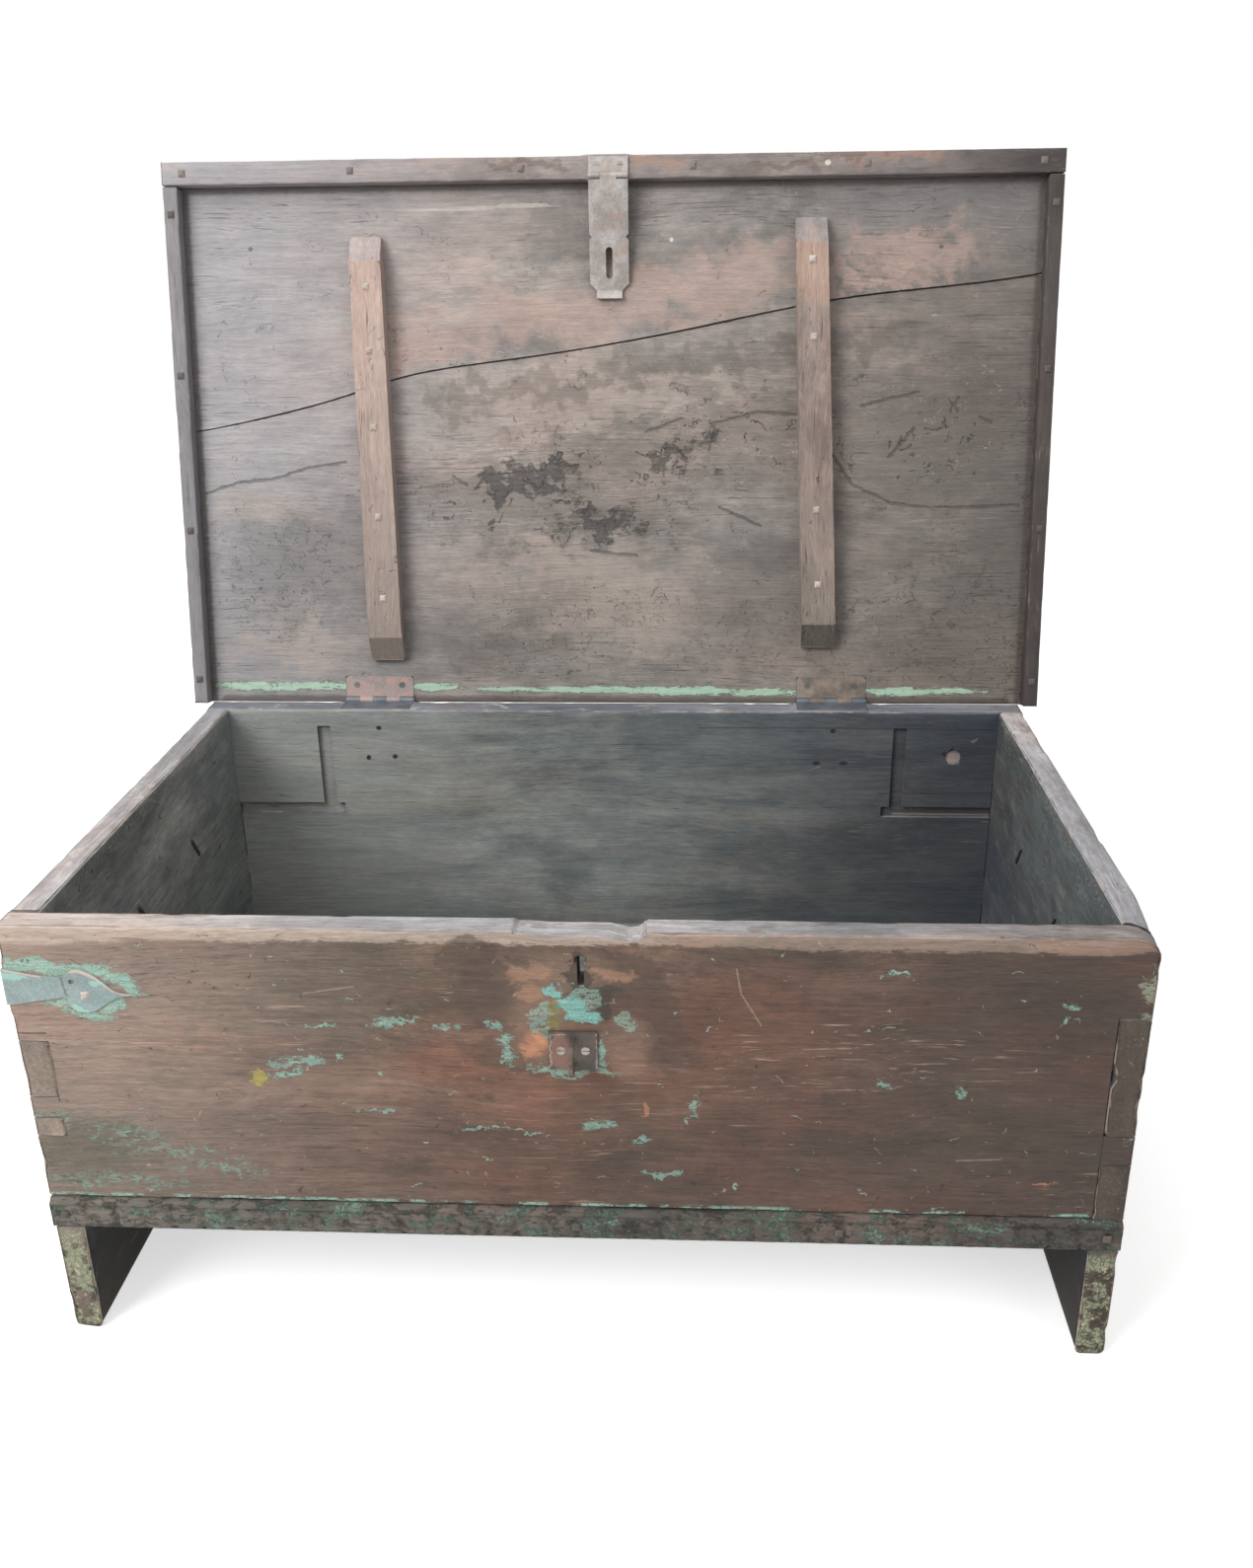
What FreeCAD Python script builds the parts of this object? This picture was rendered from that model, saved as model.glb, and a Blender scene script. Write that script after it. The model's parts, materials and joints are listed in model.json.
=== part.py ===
import FreeCAD, Part
import math
import os

# Plank chest with a hinged, rimmed lid, shown with the lid thrown open.
# Millimetres. X to the right, Y to the back, Z up, floor at Z = 0.
# The case is laid out about Y = 0 and the lid is laid out shut. Each shape is
# then opened and moved so that the origin lies under the middle of the open chest.

overcut = 1.0                  # how far a cutter runs past the wood

# ---- case ----
chest_width = 900.0
chest_depth = 540.0
chest_height = 403.0
end_thickness = 26.0
front_thickness = 26.0
back_thickness = 28.0
foot_height = 111.0            # floor to the underside of the base rail
foot_round = 6.0               # worn arrises under the feet
rail_height = 31.0
rail_proud = 4.0               # rail face ahead of the front board
rail_depth = 26.0
rail_cove = 5.0                # hollow along the rail's upper front arris
rail_round = 7.0               # rounding of the rail's lower front arris
floor_thickness = 20.0
floor_housing = 8.0            # depth of the groove in the end boards
floor_board_count = 3
top_round = 3.0                # rubbed arrises along the case's top
lower_chamfer = 2.5            # lower front arris of the front board

# comb joints: each pair is one finger of the end board, from the top edge down,
# as shares of the height of the board that it meets
left_comb = ((0.406, 0.613), (0.690, 0.760))
right_comb = ((0.272, 0.686), (0.793, 1.0))

# ---- worn dip under the hasp, in the front board's top edge ----
# each point as (distance from the hasp's centre line, depth below the case's top)
dip_outline = ((-45.0, 0.0), (-41.0, 2.5), (-18.0, 4.0), (30.0, 4.6), (38.0, 6.5), (45.5, 8.5),
               (53.0, 7.0), (59.0, 0.0))

# ---- empty till grooves inside the front and back boards ----
till_groove_depth = 5.0
till_wall_groove = 14.0        # width of the upright groove
till_floor_groove = 12.0       # height of the level groove
till_floor_height = 290.0      # top of the level groove above the floor
till_top_inset = 20.0          # from the board's top edge to the upright groove
till_length = 98.0             # end board's inner face to the upright groove
till_overrun = 9.0             # level groove past the upright one

# ---- keyhole of the lost lock ----
keyhole_x = 9.5
keyhole_top_inset = 21.0
keyhole_width = 8.5
keyhole_height = 27.0
keyhole_slot = 4.6

# ---- plug in the back board ----
plug_radius = 8.4
plug_x_inset = 72.0            # from the end board's outer face
plug_top_inset = 53.0
plug_recess = 2.0

# ---- lid ----
lid_gap = 1.0                  # between the case's top and the shut lid
lid_thickness = 20.0
lid_overhang = 6.0             # past the back board
lid_round = 3.0
rim_height = 17.5
front_rim_width = 25.0
side_rim_width = 17.5
front_rim_clearance = 1.5
side_rim_clearance = 1.0
lid_open_angle = 101.0
seam_gap = 0.8                 # open joint between the two lid planks
# the waney joint, as shares of the lid's half width and of its depth
seam_shares = ((-1.0, 0.516), (-0.76, 0.553), (-0.60, 0.587), (-0.49, 0.615), (-0.26, 0.645),
               (-0.04, 0.669), (0.19, 0.701), (0.41, 0.736), (0.53, 0.752), (0.76, 0.771), (1.0, 0.796))

# ---- lid battens ----
batten_thickness = 20.0
left_batten_back = 45.0        # from the hinge line to the batten's end
right_batten_back = 60.0
left_batten_front_gap = 50.5   # from the front rim to the batten's end
right_batten_front_gap = 36.5
batten_bevel = 27.0            # length of the sloping ends
batten_toe = 7.0               # thickness left at the sloping ends
left_batten_back_inset = 203.0         # end board's outer face to the batten's centre line
left_batten_front_inset = 194.0
right_batten_back_inset = 221.0
right_batten_front_inset = 238.0
batten_back_width = 38.0
batten_front_width = 34.0
left_batten_nail_shares = (0.156, 0.352, 0.563, 0.739, 0.884)       # of the batten's length
right_batten_nail_shares = (0.156, 0.333, 0.730, 0.902)

# ---- butt hinges ----
hinge_width = 76.0
leaf_reach = 27.0              # from the pin's axis to the leaf's free edge
leaf_thickness = 2.0
leaf_corner = 4.0
knuckle_radius = 4.0
knuckle_count = 5
knuckle_gap = 0.3
pin_radius = 2.0
pin_clearance = 0.05
pin_head = 1.2
hinge_setback = 3.0            # pin's axis behind the back board
hinge_recess_clearance = 0.3
left_hinge_inset = 190.0       # end board's outer face to the hinge's centre
right_hinge_inset = 205.0

# ---- hasp ----
hasp_x = 2.0
hasp_width = 41.0
hasp_thickness = 2.0
hasp_knuckle_radius = 3.2
hasp_knuckle_width = 17.0      # the swinging leaf's share of the knuckle
hasp_pin_radius = 1.5
hasp_pin_past = 0.8
hasp_seat_gap = 0.2            # knuckle clear of the front rim
hasp_fixed_reach = 19.0
hasp_screw_spread = 24.5
hasp_screw_reach = 10.5        # from the pin's axis
hasp_leaf_length = 121.0
hasp_slot_width = 7.0
hasp_slot_length = 31.0
hasp_slot_start = 69.0
hasp_notch = 3.0
hasp_notch_start = 56.0
hasp_shoulder = 7.0            # bevel at each shoulder
hasp_lip_length = 9.0
hasp_lip_tilt = 35.0
hasp_rest_gap = 0.3            # leaf's bend clear of the lid

# ---- staple ----
staple_width = 38.5
staple_height = 35.0
staple_top_inset = 88.0        # board's top edge to the plate's top edge
staple_thickness = 1.8
staple_corner = 1.5
loop_height = 28.0
loop_reach = 22.0
loop_thickness = 3.4
loop_bar = 4.6
loop_outer_round = 8.4
loop_inner_round = 5.0
staple_screw_spread = 19.6

# ---- corner strap: its two leaves are alike ----
strap_thickness = 1.2
# each edge as (reach from the corner, depth below the case's top)
strap_upper = ((0.0, 39.0), (14.5, 42.0), (28.0, 44.5), (40.0, 45.5), (48.0, 44.5), (54.0, 40.5),
               (60.0, 38.3), (66.0, 39.8), (72.0, 43.0), (77.5, 47.5), (82.5, 52.5), (87.0, 56.8),
               (92.0, 59.4), (98.0, 60.4), (106.0, 60.8))
strap_lower = ((0.0, 71.5), (14.0, 69.6), (28.0, 67.0), (38.5, 65.2), (47.5, 64.0))
strap_lobe = ((47.5, 64.0), (49.0, 68.0), (51.5, 72.6), (56.0, 76.2), (63.0, 77.4), (70.5, 75.9),
              (77.0, 71.7), (82.5, 67.8), (88.5, 64.4), (95.0, 62.4), (106.0, 60.8))
strap_hole_radius = 2.2
strap_hole_reach = 54.5
strap_hole_depth = 49.6
strap_nail_reach = 64.0
strap_nail_depth = 62.0
strap_end_nail_depth = 56.0

# ---- end handles ----
handle_height = 303.0
handle_y = 16.0
handle_spread = 149.0          # between the two eyes
handle_drop = 60.0
bail_radius = 4.0
bail_corner = 14.0
bail_shoulder = 9.0            # eye to the bail's arm
bail_bend = 5.5
bail_knob_radius = 6.0
bail_knob_length = 4.0
eye_bar_radius = 1.9
eye_clearance = 0.4            # bail inside its eye
eye_standoff = 0.4             # eye clear of the end board
split_leg_width = 3.4
split_leg_thickness = 1.6
clinch_length = 15.0
clinch_tilt = 35.0
clinch_chamfer = 1.4

# ---- nails and screws ----
nail_shank = 3.0
nail_head = 7.0
nail_head_height = 1.1
nail_crown_share = 0.45        # flat crown of a rose head, as a share of its width
nail_bite = 13.0               # into the second piece
rail_nail_length = 38.0
rail_nail_count = 5
floor_nail_length = 52.0
floor_nail_count = 5
rim_nail_count = 6
side_rim_nail_count = 4
nail_end_inset = 14.0
strap_nail_length = 20.0
screw_head_radius = 3.6
screw_head_height = 1.6
screw_radius = 1.7
screw_length = 15.0
screw_slot_width = 0.8
screw_slot_depth = 0.7
hinge_screw_spread = 51.0
hinge_screw_reach = 17.0       # from the pin's axis

# ---- places that follow from the sizes above ----
half_width = chest_width / 2
half_depth = chest_depth / 2
inner_x = half_width - end_thickness
front_face = -half_depth
front_inner = front_face + front_thickness
back_inner = half_depth - back_thickness
rail_top = foot_height + rail_height
rail_front = front_face - rail_proud
rail_back = rail_front + rail_depth
front_board_height = chest_height - rail_top
back_board_height = chest_height - foot_height
lid_under = chest_height + lid_gap
hinge_y = half_depth + hinge_setback
hinge_z = chest_height + lid_gap / 2
front_rim_inner = front_face - front_rim_clearance
lid_front = front_rim_inner - front_rim_width
side_rim_inner = half_width + side_rim_clearance
lid_half_width = side_rim_inner + side_rim_width
lid_rear = half_depth + lid_overhang
lid_depth = lid_rear - lid_front
rim_bottom = lid_under - rim_height
left_hinge_x = left_hinge_inset - half_width
right_hinge_x = half_width - right_hinge_inset
hasp_axis_y = front_rim_inner - hasp_knuckle_radius - hasp_seat_gap
hasp_axis_z = rim_bottom - hasp_knuckle_radius - hasp_seat_gap
staple_top = chest_height - staple_top_inset
staple_z = staple_top - staple_height / 2
eye_inner_radius = bail_radius + eye_clearance
eye_outer_radius = eye_inner_radius + 2 * eye_bar_radius
handle_x = half_width + eye_standoff + eye_outer_radius
all_across = chest_width + chest_depth     # longer than any piece, for cutters

X = FreeCAD.Vector(1, 0, 0)
Y = FreeCAD.Vector(0, 1, 0)
Z = FreeCAD.Vector(0, 0, 1)


# ---- small makers ----
def at(x, y, z):
    return FreeCAD.Vector(x, y, z)


def block(x0, x1, y0, y1, z0, z1):
    return Part.makeBox(x1 - x0, y1 - y0, z1 - z0, at(x0, y0, z0))


def face_of(points):
    return Part.Face(Part.makePolygon(points + [points[0]]))


def prism_x(outline, x0, x1):
    """outline is a list of (y, z)"""
    return face_of([at(x0, y, z) for y, z in outline]).extrude(X * (x1 - x0))


def prism_y(outline, y0, y1):
    """outline is a list of (x, z)"""
    return face_of([at(x, y0, z) for x, z in outline]).extrude(Y * (y1 - y0))


def prism_z(outline, z0, z1):
    """outline is a list of (x, y)"""
    return face_of([at(x, y, z0) for x, y in outline]).extrude(Z * (z1 - z0))


def turned(shape, centre, axis, degrees):
    moved = shape.copy()
    moved.rotate(centre, axis, degrees)
    return moved


def mirrored_x(shape):
    return shape.mirror(at(0, 0, 0), X)


def edges_along(shape, axis, test):
    """straight edges parallel to axis whose middle passes the test"""
    found = []
    for edge in shape.Edges:
        run = edge.Vertexes[-1].Point - edge.Vertexes[0].Point
        if run.Length > 1e-6 and abs(abs(run.normalize().dot(axis)) - 1) < 1e-6:
            middle = edge.CenterOfMass
            if test(middle):
                found.append(edge)
    return found


def near(a, b):
    return abs(a - b) < 1e-4


def cut_all(shape, cutters):
    for cutter in cutters:
        shape = shape.cut(cutter)
    return shape


def spread(start, end, count):
    return [start + index * (end - start) / (count - 1) for index in range(count)]


def octagon(centre, across, along, radius):
    """corners of a forged bar's section, whose flats lie inside the radius"""
    turns = [math.radians(45 * index + 22.5) for index in range(8)]
    return [centre + across * (radius * math.cos(t)) + along * (radius * math.sin(t)) for t in turns]


# ---- fasteners: head on the plane through the point, shank along the direction ----
def nail(point, direction, length, head=nail_head):
    shank = Part.makeBox(nail_shank, nail_shank, length, at(-nail_shank / 2, -nail_shank / 2, 0))
    crown = head * nail_crown_share
    low = head / 2
    top = crown / 2
    rose = Part.makeWedge(-low, 0, -low, -top, -top, low, nail_head_height, low, top, top)
    rose = turned(rose, at(0, 0, 0), X, -90)
    return placed(shank.fuse(rose), point, direction)


def screw_blank():
    head = Part.makeCone(screw_head_radius, screw_radius, screw_head_height)
    shank = face_of(octagon(at(0, 0, 0), X, Y, screw_radius)).extrude(Z * screw_length)
    return head.fuse(shank)


def screw(point, direction):
    slot = block(-screw_head_radius, screw_head_radius, -screw_slot_width / 2, screw_slot_width / 2,
                 0, screw_slot_depth)
    return placed(screw_blank().cut(slot), point, direction)


def placed(shape, point, direction):
    spin = FreeCAD.Rotation(Z, direction)
    moved = shape.copy()
    moved.Placement = FreeCAD.Placement(point, spin)
    return moved


def screw_pocket(point, direction):
    """the screw without its slot, to cut its seat"""
    return placed(screw_blank(), point, direction)


# ---- comb joints ----
def comb_fingers(comb, x0, x1, y0, y1, height):
    """the end board's fingers at one corner, down from the case's top"""
    return [block(x0, x1, y0, y1, chest_height - low * height, chest_height - high * height)
            for high, low in comb]


def corner_sockets(y0, y1, height):
    left = comb_fingers(left_comb, -half_width, -inner_x, y0, y1, height)
    right = comb_fingers(right_comb, inner_x, half_width, y0, y1, height)
    return left + right


front_fingers = corner_sockets(front_face, front_inner, front_board_height)
back_fingers = corner_sockets(back_inner, half_depth, back_board_height)


# ---- hinges ----
hinge_y_free = hinge_y - leaf_reach


def hinge_bay(x, z0, z1):
    """room cut in the wood for one leaf and for the round knuckle"""
    half = hinge_width / 2 + hinge_recess_clearance
    leaf = block(x - half, x + half, hinge_y_free, hinge_y, z0, z1)
    barrel = Part.makeCylinder(knuckle_radius + hinge_recess_clearance, 2 * half + pin_head,
                               at(x - half, hinge_y, hinge_z), X)
    return leaf.fuse(barrel)


def hinge_leaf(x, z0, z1, knuckles, screw_seats):
    half = hinge_width / 2
    leaf = block(x - half, x + half, hinge_y_free, hinge_y, z0, z1)
    corners = edges_along(leaf, Z, lambda p: near(p.y, hinge_y_free))
    leaf = leaf.makeFillet(leaf_corner, corners)
    pitch = hinge_width / knuckle_count
    for index in range(knuckle_count):
        start = x - half + index * pitch
        if index % 2 == knuckles:
            barrel = Part.makeCylinder(knuckle_radius, pitch - knuckle_gap,
                                       at(start + knuckle_gap / 2, hinge_y, hinge_z), X)
            leaf = leaf.fuse(barrel)
        else:
            room = Part.makeCylinder(knuckle_radius + knuckle_gap, pitch, at(start, hinge_y, hinge_z), X)
            leaf = leaf.cut(room)
    bore = Part.makeCylinder(pin_radius + pin_clearance, hinge_width, at(x - half, hinge_y, hinge_z), X)
    return cut_all(leaf, [bore] + screw_seats).removeSplitter()


def hinge_pin(x):
    half = hinge_width / 2
    pin = Part.makeCylinder(pin_radius, hinge_width, at(x - half, hinge_y, hinge_z), X)
    head = Part.makeCylinder(pin_radius + pin_head, pin_head, at(x + half, hinge_y, hinge_z), X)
    return pin.fuse(head)


def hinge_screw_points(x, z):
    y = hinge_y - hinge_screw_reach
    return [at(x + side * hinge_screw_spread / 2, y, z) for side in (-1, 1)]


leaf_low = chest_height - leaf_thickness
leaf_high = lid_under + leaf_thickness
hinge_places = (left_hinge_x, right_hinge_x)
case_screw_points = [p for x in hinge_places for p in hinge_screw_points(x, chest_height)]
lid_screw_points = [p for x in hinge_places for p in hinge_screw_points(x, lid_under)]
case_screws = [screw(p, -Z) for p in case_screw_points]
case_seats = [screw_pocket(p, -Z) for p in case_screw_points]
lid_screws = [screw(p, Z) for p in lid_screw_points]
lid_seats = [screw_pocket(p, Z) for p in lid_screw_points]


# ---- base rail: a bar with a hollowed upper arris and a rounded lower one ----
def base_rail():
    bar = block(-half_width, half_width, rail_front, rail_back, foot_height, rail_top)
    lower = edges_along(bar, X, lambda p: near(p.y, rail_front) and near(p.z, foot_height))
    bar = bar.makeFillet(rail_round, lower)
    cove = Part.makeCylinder(rail_cove, chest_width, at(-half_width, rail_front, rail_top), X)
    return cut_all(bar.cut(cove), rail_nails)


def rail_nail_points():
    y = rail_front
    z = (foot_height + rail_top) / 2
    reach = half_width - end_thickness / 2
    return [at(x, y, z) for x in spread(-reach, reach, rail_nail_count)]


rail_nails = [nail(p, Y, rail_nail_length) for p in rail_nail_points()]
rail_room = block(-half_width, half_width, rail_front, rail_back, foot_height, rail_top)


# ---- floor of the chest: boards housed in the end boards ----
floor_low = rail_top - floor_thickness
floor_board_width = (back_inner - rail_back) / floor_board_count


def floor_board(index):
    y0 = rail_back + index * floor_board_width
    reach = inner_x + floor_housing
    board = block(-reach, reach, y0, y0 + floor_board_width, floor_low, rail_top)
    return cut_all(board, floor_nails + rail_nails)


def floor_nail_points():
    z = rail_top - floor_thickness / 2
    reach = inner_x - nail_end_inset
    return [at(x, half_depth, z) for x in spread(-reach, reach, floor_nail_count)]


floor_nails = [nail(p, -Y, floor_nail_length) for p in floor_nail_points()]
floor_room = block(-inner_x - floor_housing, inner_x + floor_housing, rail_back, back_inner,
                   floor_low, rail_top)


# ---- till grooves, at both ends of the front and back boards ----
def till_grooves(y_face, into):
    """into is +1 where the wood lies behind the face, -1 where it lies ahead"""
    y0 = min(y_face, y_face + into * till_groove_depth)
    y1 = y0 + till_groove_depth
    upright_x = inner_x - till_length
    level_end = upright_x - till_wall_groove - till_overrun
    top = chest_height - till_top_inset
    low = till_floor_height - till_floor_groove
    upright = block(upright_x - till_wall_groove, upright_x, y0, y1, low, top)
    level = block(level_end, inner_x, y0, y1, low, till_floor_height)
    right = upright.fuse(level)
    return [right, mirrored_x(right)]


# ---- handles on the end boards ----
def split_pin(x_side, y):
    """an eye whose two flat legs run through the end board and are bent over inside"""
    middle = at(handle_x, y, handle_height)
    ring = face_of(octagon(middle + X * (eye_inner_radius + eye_bar_radius), X, Y, eye_bar_radius))
    ring = ring.revolve(middle, Y, 360)
    leg_start = handle_x - eye_outer_radius + eye_bar_radius / 2
    low = handle_height - split_leg_thickness
    high = handle_height + split_leg_thickness
    inside = inner_x - split_leg_thickness
    legs = block(inside, leg_start, y - split_leg_width / 2, y + split_leg_width / 2, low, high)
    bent = block(inside, inner_x, y - split_leg_width / 2, y + split_leg_width / 2,
                 handle_height - clinch_length, handle_height + clinch_length)
    bent = bent.makeChamfer(clinch_chamfer, edges_along(bent, Y, lambda p: near(p.x, inside)))
    bent = turned(bent, at(inner_x, y, handle_height), X, clinch_tilt)
    pin = ring.fuse(legs).fuse(bent).removeSplitter()
    return pin if x_side > 0 else mirrored_x(pin)


def eye_places():
    return [handle_y - handle_spread / 2, handle_y + handle_spread / 2]


def bail():
    """the right bail: a forged bar bent to a flat U, with its ends turned out through the eyes"""
    reach = handle_spread / 2
    arm = reach - bail_shoulder
    tip = reach + bail_shoulder
    start = at(handle_x, handle_y - tip, handle_height)
    corners = [start,
               at(handle_x, handle_y - arm, handle_height),
               at(handle_x, handle_y - arm, handle_height - handle_drop),
               at(handle_x, handle_y + arm, handle_height - handle_drop),
               at(handle_x, handle_y + arm, handle_height),
               at(handle_x, handle_y + tip, handle_height)]
    radii = [bail_bend, bail_corner, bail_corner, bail_bend]
    path = rounded_path(corners, radii)
    corners_of_bar = octagon(start, X, Z, bail_radius)
    section = Part.makePolygon(corners_of_bar + [corners_of_bar[0]])
    bar = path.makePipeShell([section], True, True)
    for side in (-1, 1):
        y = handle_y + side * tip
        base = at(handle_x, min(y, y + side * bail_knob_length), handle_height)
        bar = bar.fuse(Part.makeCylinder(bail_knob_radius, bail_knob_length, base, Y))
    return bar


def rounded_path(corners, radii):
    """straight runs joined by tangent arcs of the given radii"""
    edges = []
    here = corners[0]
    for index, radius in enumerate(radii):
        corner = corners[index + 1]
        before = (corner - corners[index]).normalize()
        after = (corners[index + 2] - corner).normalize()
        turn = before.getAngle(after)
        pull = radius * math.tan(turn / 2)
        arc_start = corner - before * pull
        arc_end = corner + after * pull
        inward = (after - before).normalize()
        middle = corner + inward * (radius / math.cos(turn / 2) - radius)
        edges.append(Part.LineSegment(here, arc_start).toShape())
        edges.append(Part.Arc(arc_start, middle, arc_end).toShape())
        here = arc_end
    edges.append(Part.LineSegment(here, corners[-1]).toShape())
    return Part.Wire(edges)


right_pins = [split_pin(1, y) for y in eye_places()]
left_pins = [split_pin(-1, y) for y in eye_places()]


# ---- corner strap: sheet iron wrapped round the left front corner ----
def strap_edge(points):
    spline = Part.BSplineCurve()
    spline.interpolate([at(reach, 0, chest_height - depth) for reach, depth in points])
    return spline.toShape()


def strap_leaf():
    """one leaf laid along X from the corner, its outer face ahead of Y = 0"""
    corner = Part.LineSegment(at(0, 0, chest_height - strap_lower[0][1]),
                              at(0, 0, chest_height - strap_upper[0][1])).toShape()
    outline = Part.Wire([corner, strap_edge(strap_upper), strap_edge(tuple(reversed(strap_lobe))),
                         strap_edge(tuple(reversed(strap_lower)))])
    return Part.Face(outline).extrude(Y * -strap_thickness)


def corner_strap():
    leaf = strap_leaf()
    hole = Part.makeCylinder(strap_hole_radius, strap_thickness,
                             at(strap_hole_reach, -strap_thickness, chest_height - strap_hole_depth), Y)
    front = leaf.cut(hole)
    front.translate(at(-half_width, front_face, 0))
    side = turned(leaf, at(0, 0, 0), Z, 90)
    side.translate(at(-half_width - strap_thickness, front_face, 0))
    corner = block(-half_width - strap_thickness, -half_width, front_face - strap_thickness, front_face,
                   chest_height - strap_lower[0][1], chest_height - strap_upper[0][1])
    return cut_all(front.fuse(side).fuse(corner).removeSplitter(), strap_nails)


def strap_nail_list():
    face = nail(at(strap_nail_reach - half_width, front_face - strap_thickness,
                   chest_height - strap_nail_depth), Y, strap_nail_length)
    side = nail(at(-half_width - strap_thickness, front_face + strap_nail_reach,
                   chest_height - strap_end_nail_depth), X, strap_nail_length)
    return [face, side]


strap_nails = strap_nail_list()


# ---- staple: a plate with an upright loop riveted through it ----
def staple():
    half = staple_width / 2
    back = front_face
    plate = block(hasp_x - half, hasp_x + half, back - staple_thickness, back,
                  staple_top - staple_height, staple_top)
    plate = plate.makeFillet(staple_corner, edges_along(plate, Y, lambda p: True))
    tip = back - staple_thickness - loop_reach
    low = staple_z - loop_height / 2
    high = staple_z + loop_height / 2
    x0 = hasp_x - loop_thickness / 2
    fin = block(x0, x0 + loop_thickness, tip, back, low, high)
    fin = fin.makeFillet(loop_outer_round, edges_along(fin, X, lambda p: near(p.y, tip)))
    eye = block(x0 - overcut, x0 + loop_thickness + overcut, tip + loop_bar, back - staple_thickness,
                low + loop_bar, high - loop_bar)
    eye = eye.makeFillet(loop_inner_round, edges_along(eye, X, lambda p: near(p.y, tip + loop_bar)))
    return cut_all(plate.fuse(fin.cut(eye)), staple_seats).removeSplitter()


def staple_screw_points():
    y = front_face - staple_thickness
    return [at(hasp_x + side * staple_screw_spread / 2, y, staple_z) for side in (-1, 1)]


staple_screws = [screw(p, Y) for p in staple_screw_points()]
staple_seats = [screw_pocket(p, Y) for p in staple_screw_points()]


# ---- front board ----
def rounded_board(y0, y1, z0, round_front, round_back):
    board = block(-half_width, half_width, y0, y1, z0, chest_height)
    if round_front:
        board = board.makeFillet(top_round, edges_along(
            board, X, lambda p: near(p.y, y0) and near(p.z, chest_height)))
    if round_back:
        board = board.makeFillet(top_round, edges_along(
            board, X, lambda p: near(p.y, y1) and near(p.z, chest_height)))
    return board


def worn_dip():
    over = chest_height + overcut
    outline = [(hasp_x + dip_outline[0][0], over)]
    outline += [(hasp_x + x, chest_height - depth) for x, depth in dip_outline]
    outline += [(hasp_x + dip_outline[-1][0], over)]
    return prism_y(outline, front_face, front_inner)


def keyhole():
    top = chest_height - keyhole_top_inset
    radius = keyhole_width / 2
    centre = top - radius
    bore = Part.makeCylinder(radius, front_thickness, at(keyhole_x, front_face, centre), Y)
    half = keyhole_slot / 2
    slot = block(keyhole_x - half, keyhole_x + half, front_face, front_inner, top - keyhole_height, centre)
    return bore.fuse(slot)


def front_board():
    board = rounded_board(front_face, front_inner, rail_top, True, True)
    lower = edges_along(board, X, lambda p: near(p.y, front_face) and near(p.z, rail_top))
    board = board.makeChamfer(lower_chamfer, lower)
    cutters = front_fingers + till_grooves(front_inner, -1) + [worn_dip(), keyhole()]
    return cut_all(board, cutters + staple_seats + strap_nails)


# ---- back board ----
def knot_plug():
    x = half_width - plug_x_inset
    z = chest_height - plug_top_inset
    return Part.makeCylinder(plug_radius, back_thickness - plug_recess,
                             at(x, back_inner + plug_recess, z), Y)


def plug_bore():
    x = half_width - plug_x_inset
    z = chest_height - plug_top_inset
    return Part.makeCylinder(plug_radius, back_thickness, at(x, back_inner, z), Y)


def back_board():
    board = rounded_board(back_inner, half_depth, foot_height, True, False)
    bays = [hinge_bay(x, leaf_low, chest_height) for x in hinge_places]
    cutters = back_fingers + till_grooves(back_inner, 1) + bays + [plug_bore()]
    return cut_all(board, cutters + case_seats + floor_nails)


# ---- end boards, which run down to the floor as feet ----
def end_board(side):
    board = block(inner_x, half_width, front_face, half_depth, 0, chest_height)
    top = edges_along(board, Y, lambda p: near(p.z, chest_height))
    board = board.makeFillet(top_round, top)
    under = edges_along(board, Y, lambda p: near(p.z, 0))
    board = board.makeFillet(foot_round, under)
    front_room = block(inner_x, half_width, front_face, front_inner, rail_top, chest_height)
    back_room = block(inner_x, half_width, back_inner, half_depth, foot_height, chest_height)
    if side < 0:
        board = mirrored_x(board)
        front_room = mirrored_x(front_room)
        back_room = mirrored_x(back_room)
    board = cut_all(board, [front_room, back_room, rail_room, floor_room])
    wanted = [f for f in front_fingers + back_fingers if f.CenterOfMass.x * side > 0]
    for finger in wanted:
        board = board.fuse(finger)
    pins = right_pins if side > 0 else left_pins
    return cut_all(board.removeSplitter(), pins + rail_nails + strap_nails)


# ---- lid, laid out shut ----
def lid_panel():
    panel = block(-lid_half_width, lid_half_width, lid_front, lid_rear,
                  lid_under, lid_under + lid_thickness)
    high = lid_under + lid_thickness
    ends = edges_along(panel, Y, lambda p: near(p.z, high))
    front = edges_along(panel, X, lambda p: near(p.z, high) and near(p.y, lid_front))
    return panel.makeFillet(lid_round, ends + front)


def seam_wall(offset):
    """the half of a plate as big as the lid that lies behind the waney joint"""
    points = [at(x * lid_half_width, lid_rear - share * lid_depth + offset, lid_under - overcut)
              for x, share in seam_shares]
    curve = Part.BSplineCurve()
    curve.interpolate(points)
    far = lid_rear + lid_depth
    tail = Part.makePolygon([points[-1], at(points[-1].x, far, points[-1].z),
                             at(points[0].x, far, points[0].z), points[0]])
    outline = Part.Wire([curve.toShape()] + tail.Edges)
    return Part.Face(outline).extrude(Z * (lid_thickness + 2 * overcut))


def lid_rear_plank():
    return cut_all(lid_panel().common(seam_wall(seam_gap / 2)), lid_cutters)


def lid_front_plank():
    return cut_all(lid_panel().cut(seam_wall(-seam_gap / 2)), lid_cutters)


def front_rim():
    rim = block(-lid_half_width, lid_half_width, lid_front, front_rim_inner, rim_bottom, lid_under)
    lower = edges_along(rim, X, lambda p: near(p.z, rim_bottom))
    rim = rim.makeFillet(top_round / 2, lower)
    return cut_all(rim, rim_nails + hasp_seats)


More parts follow.
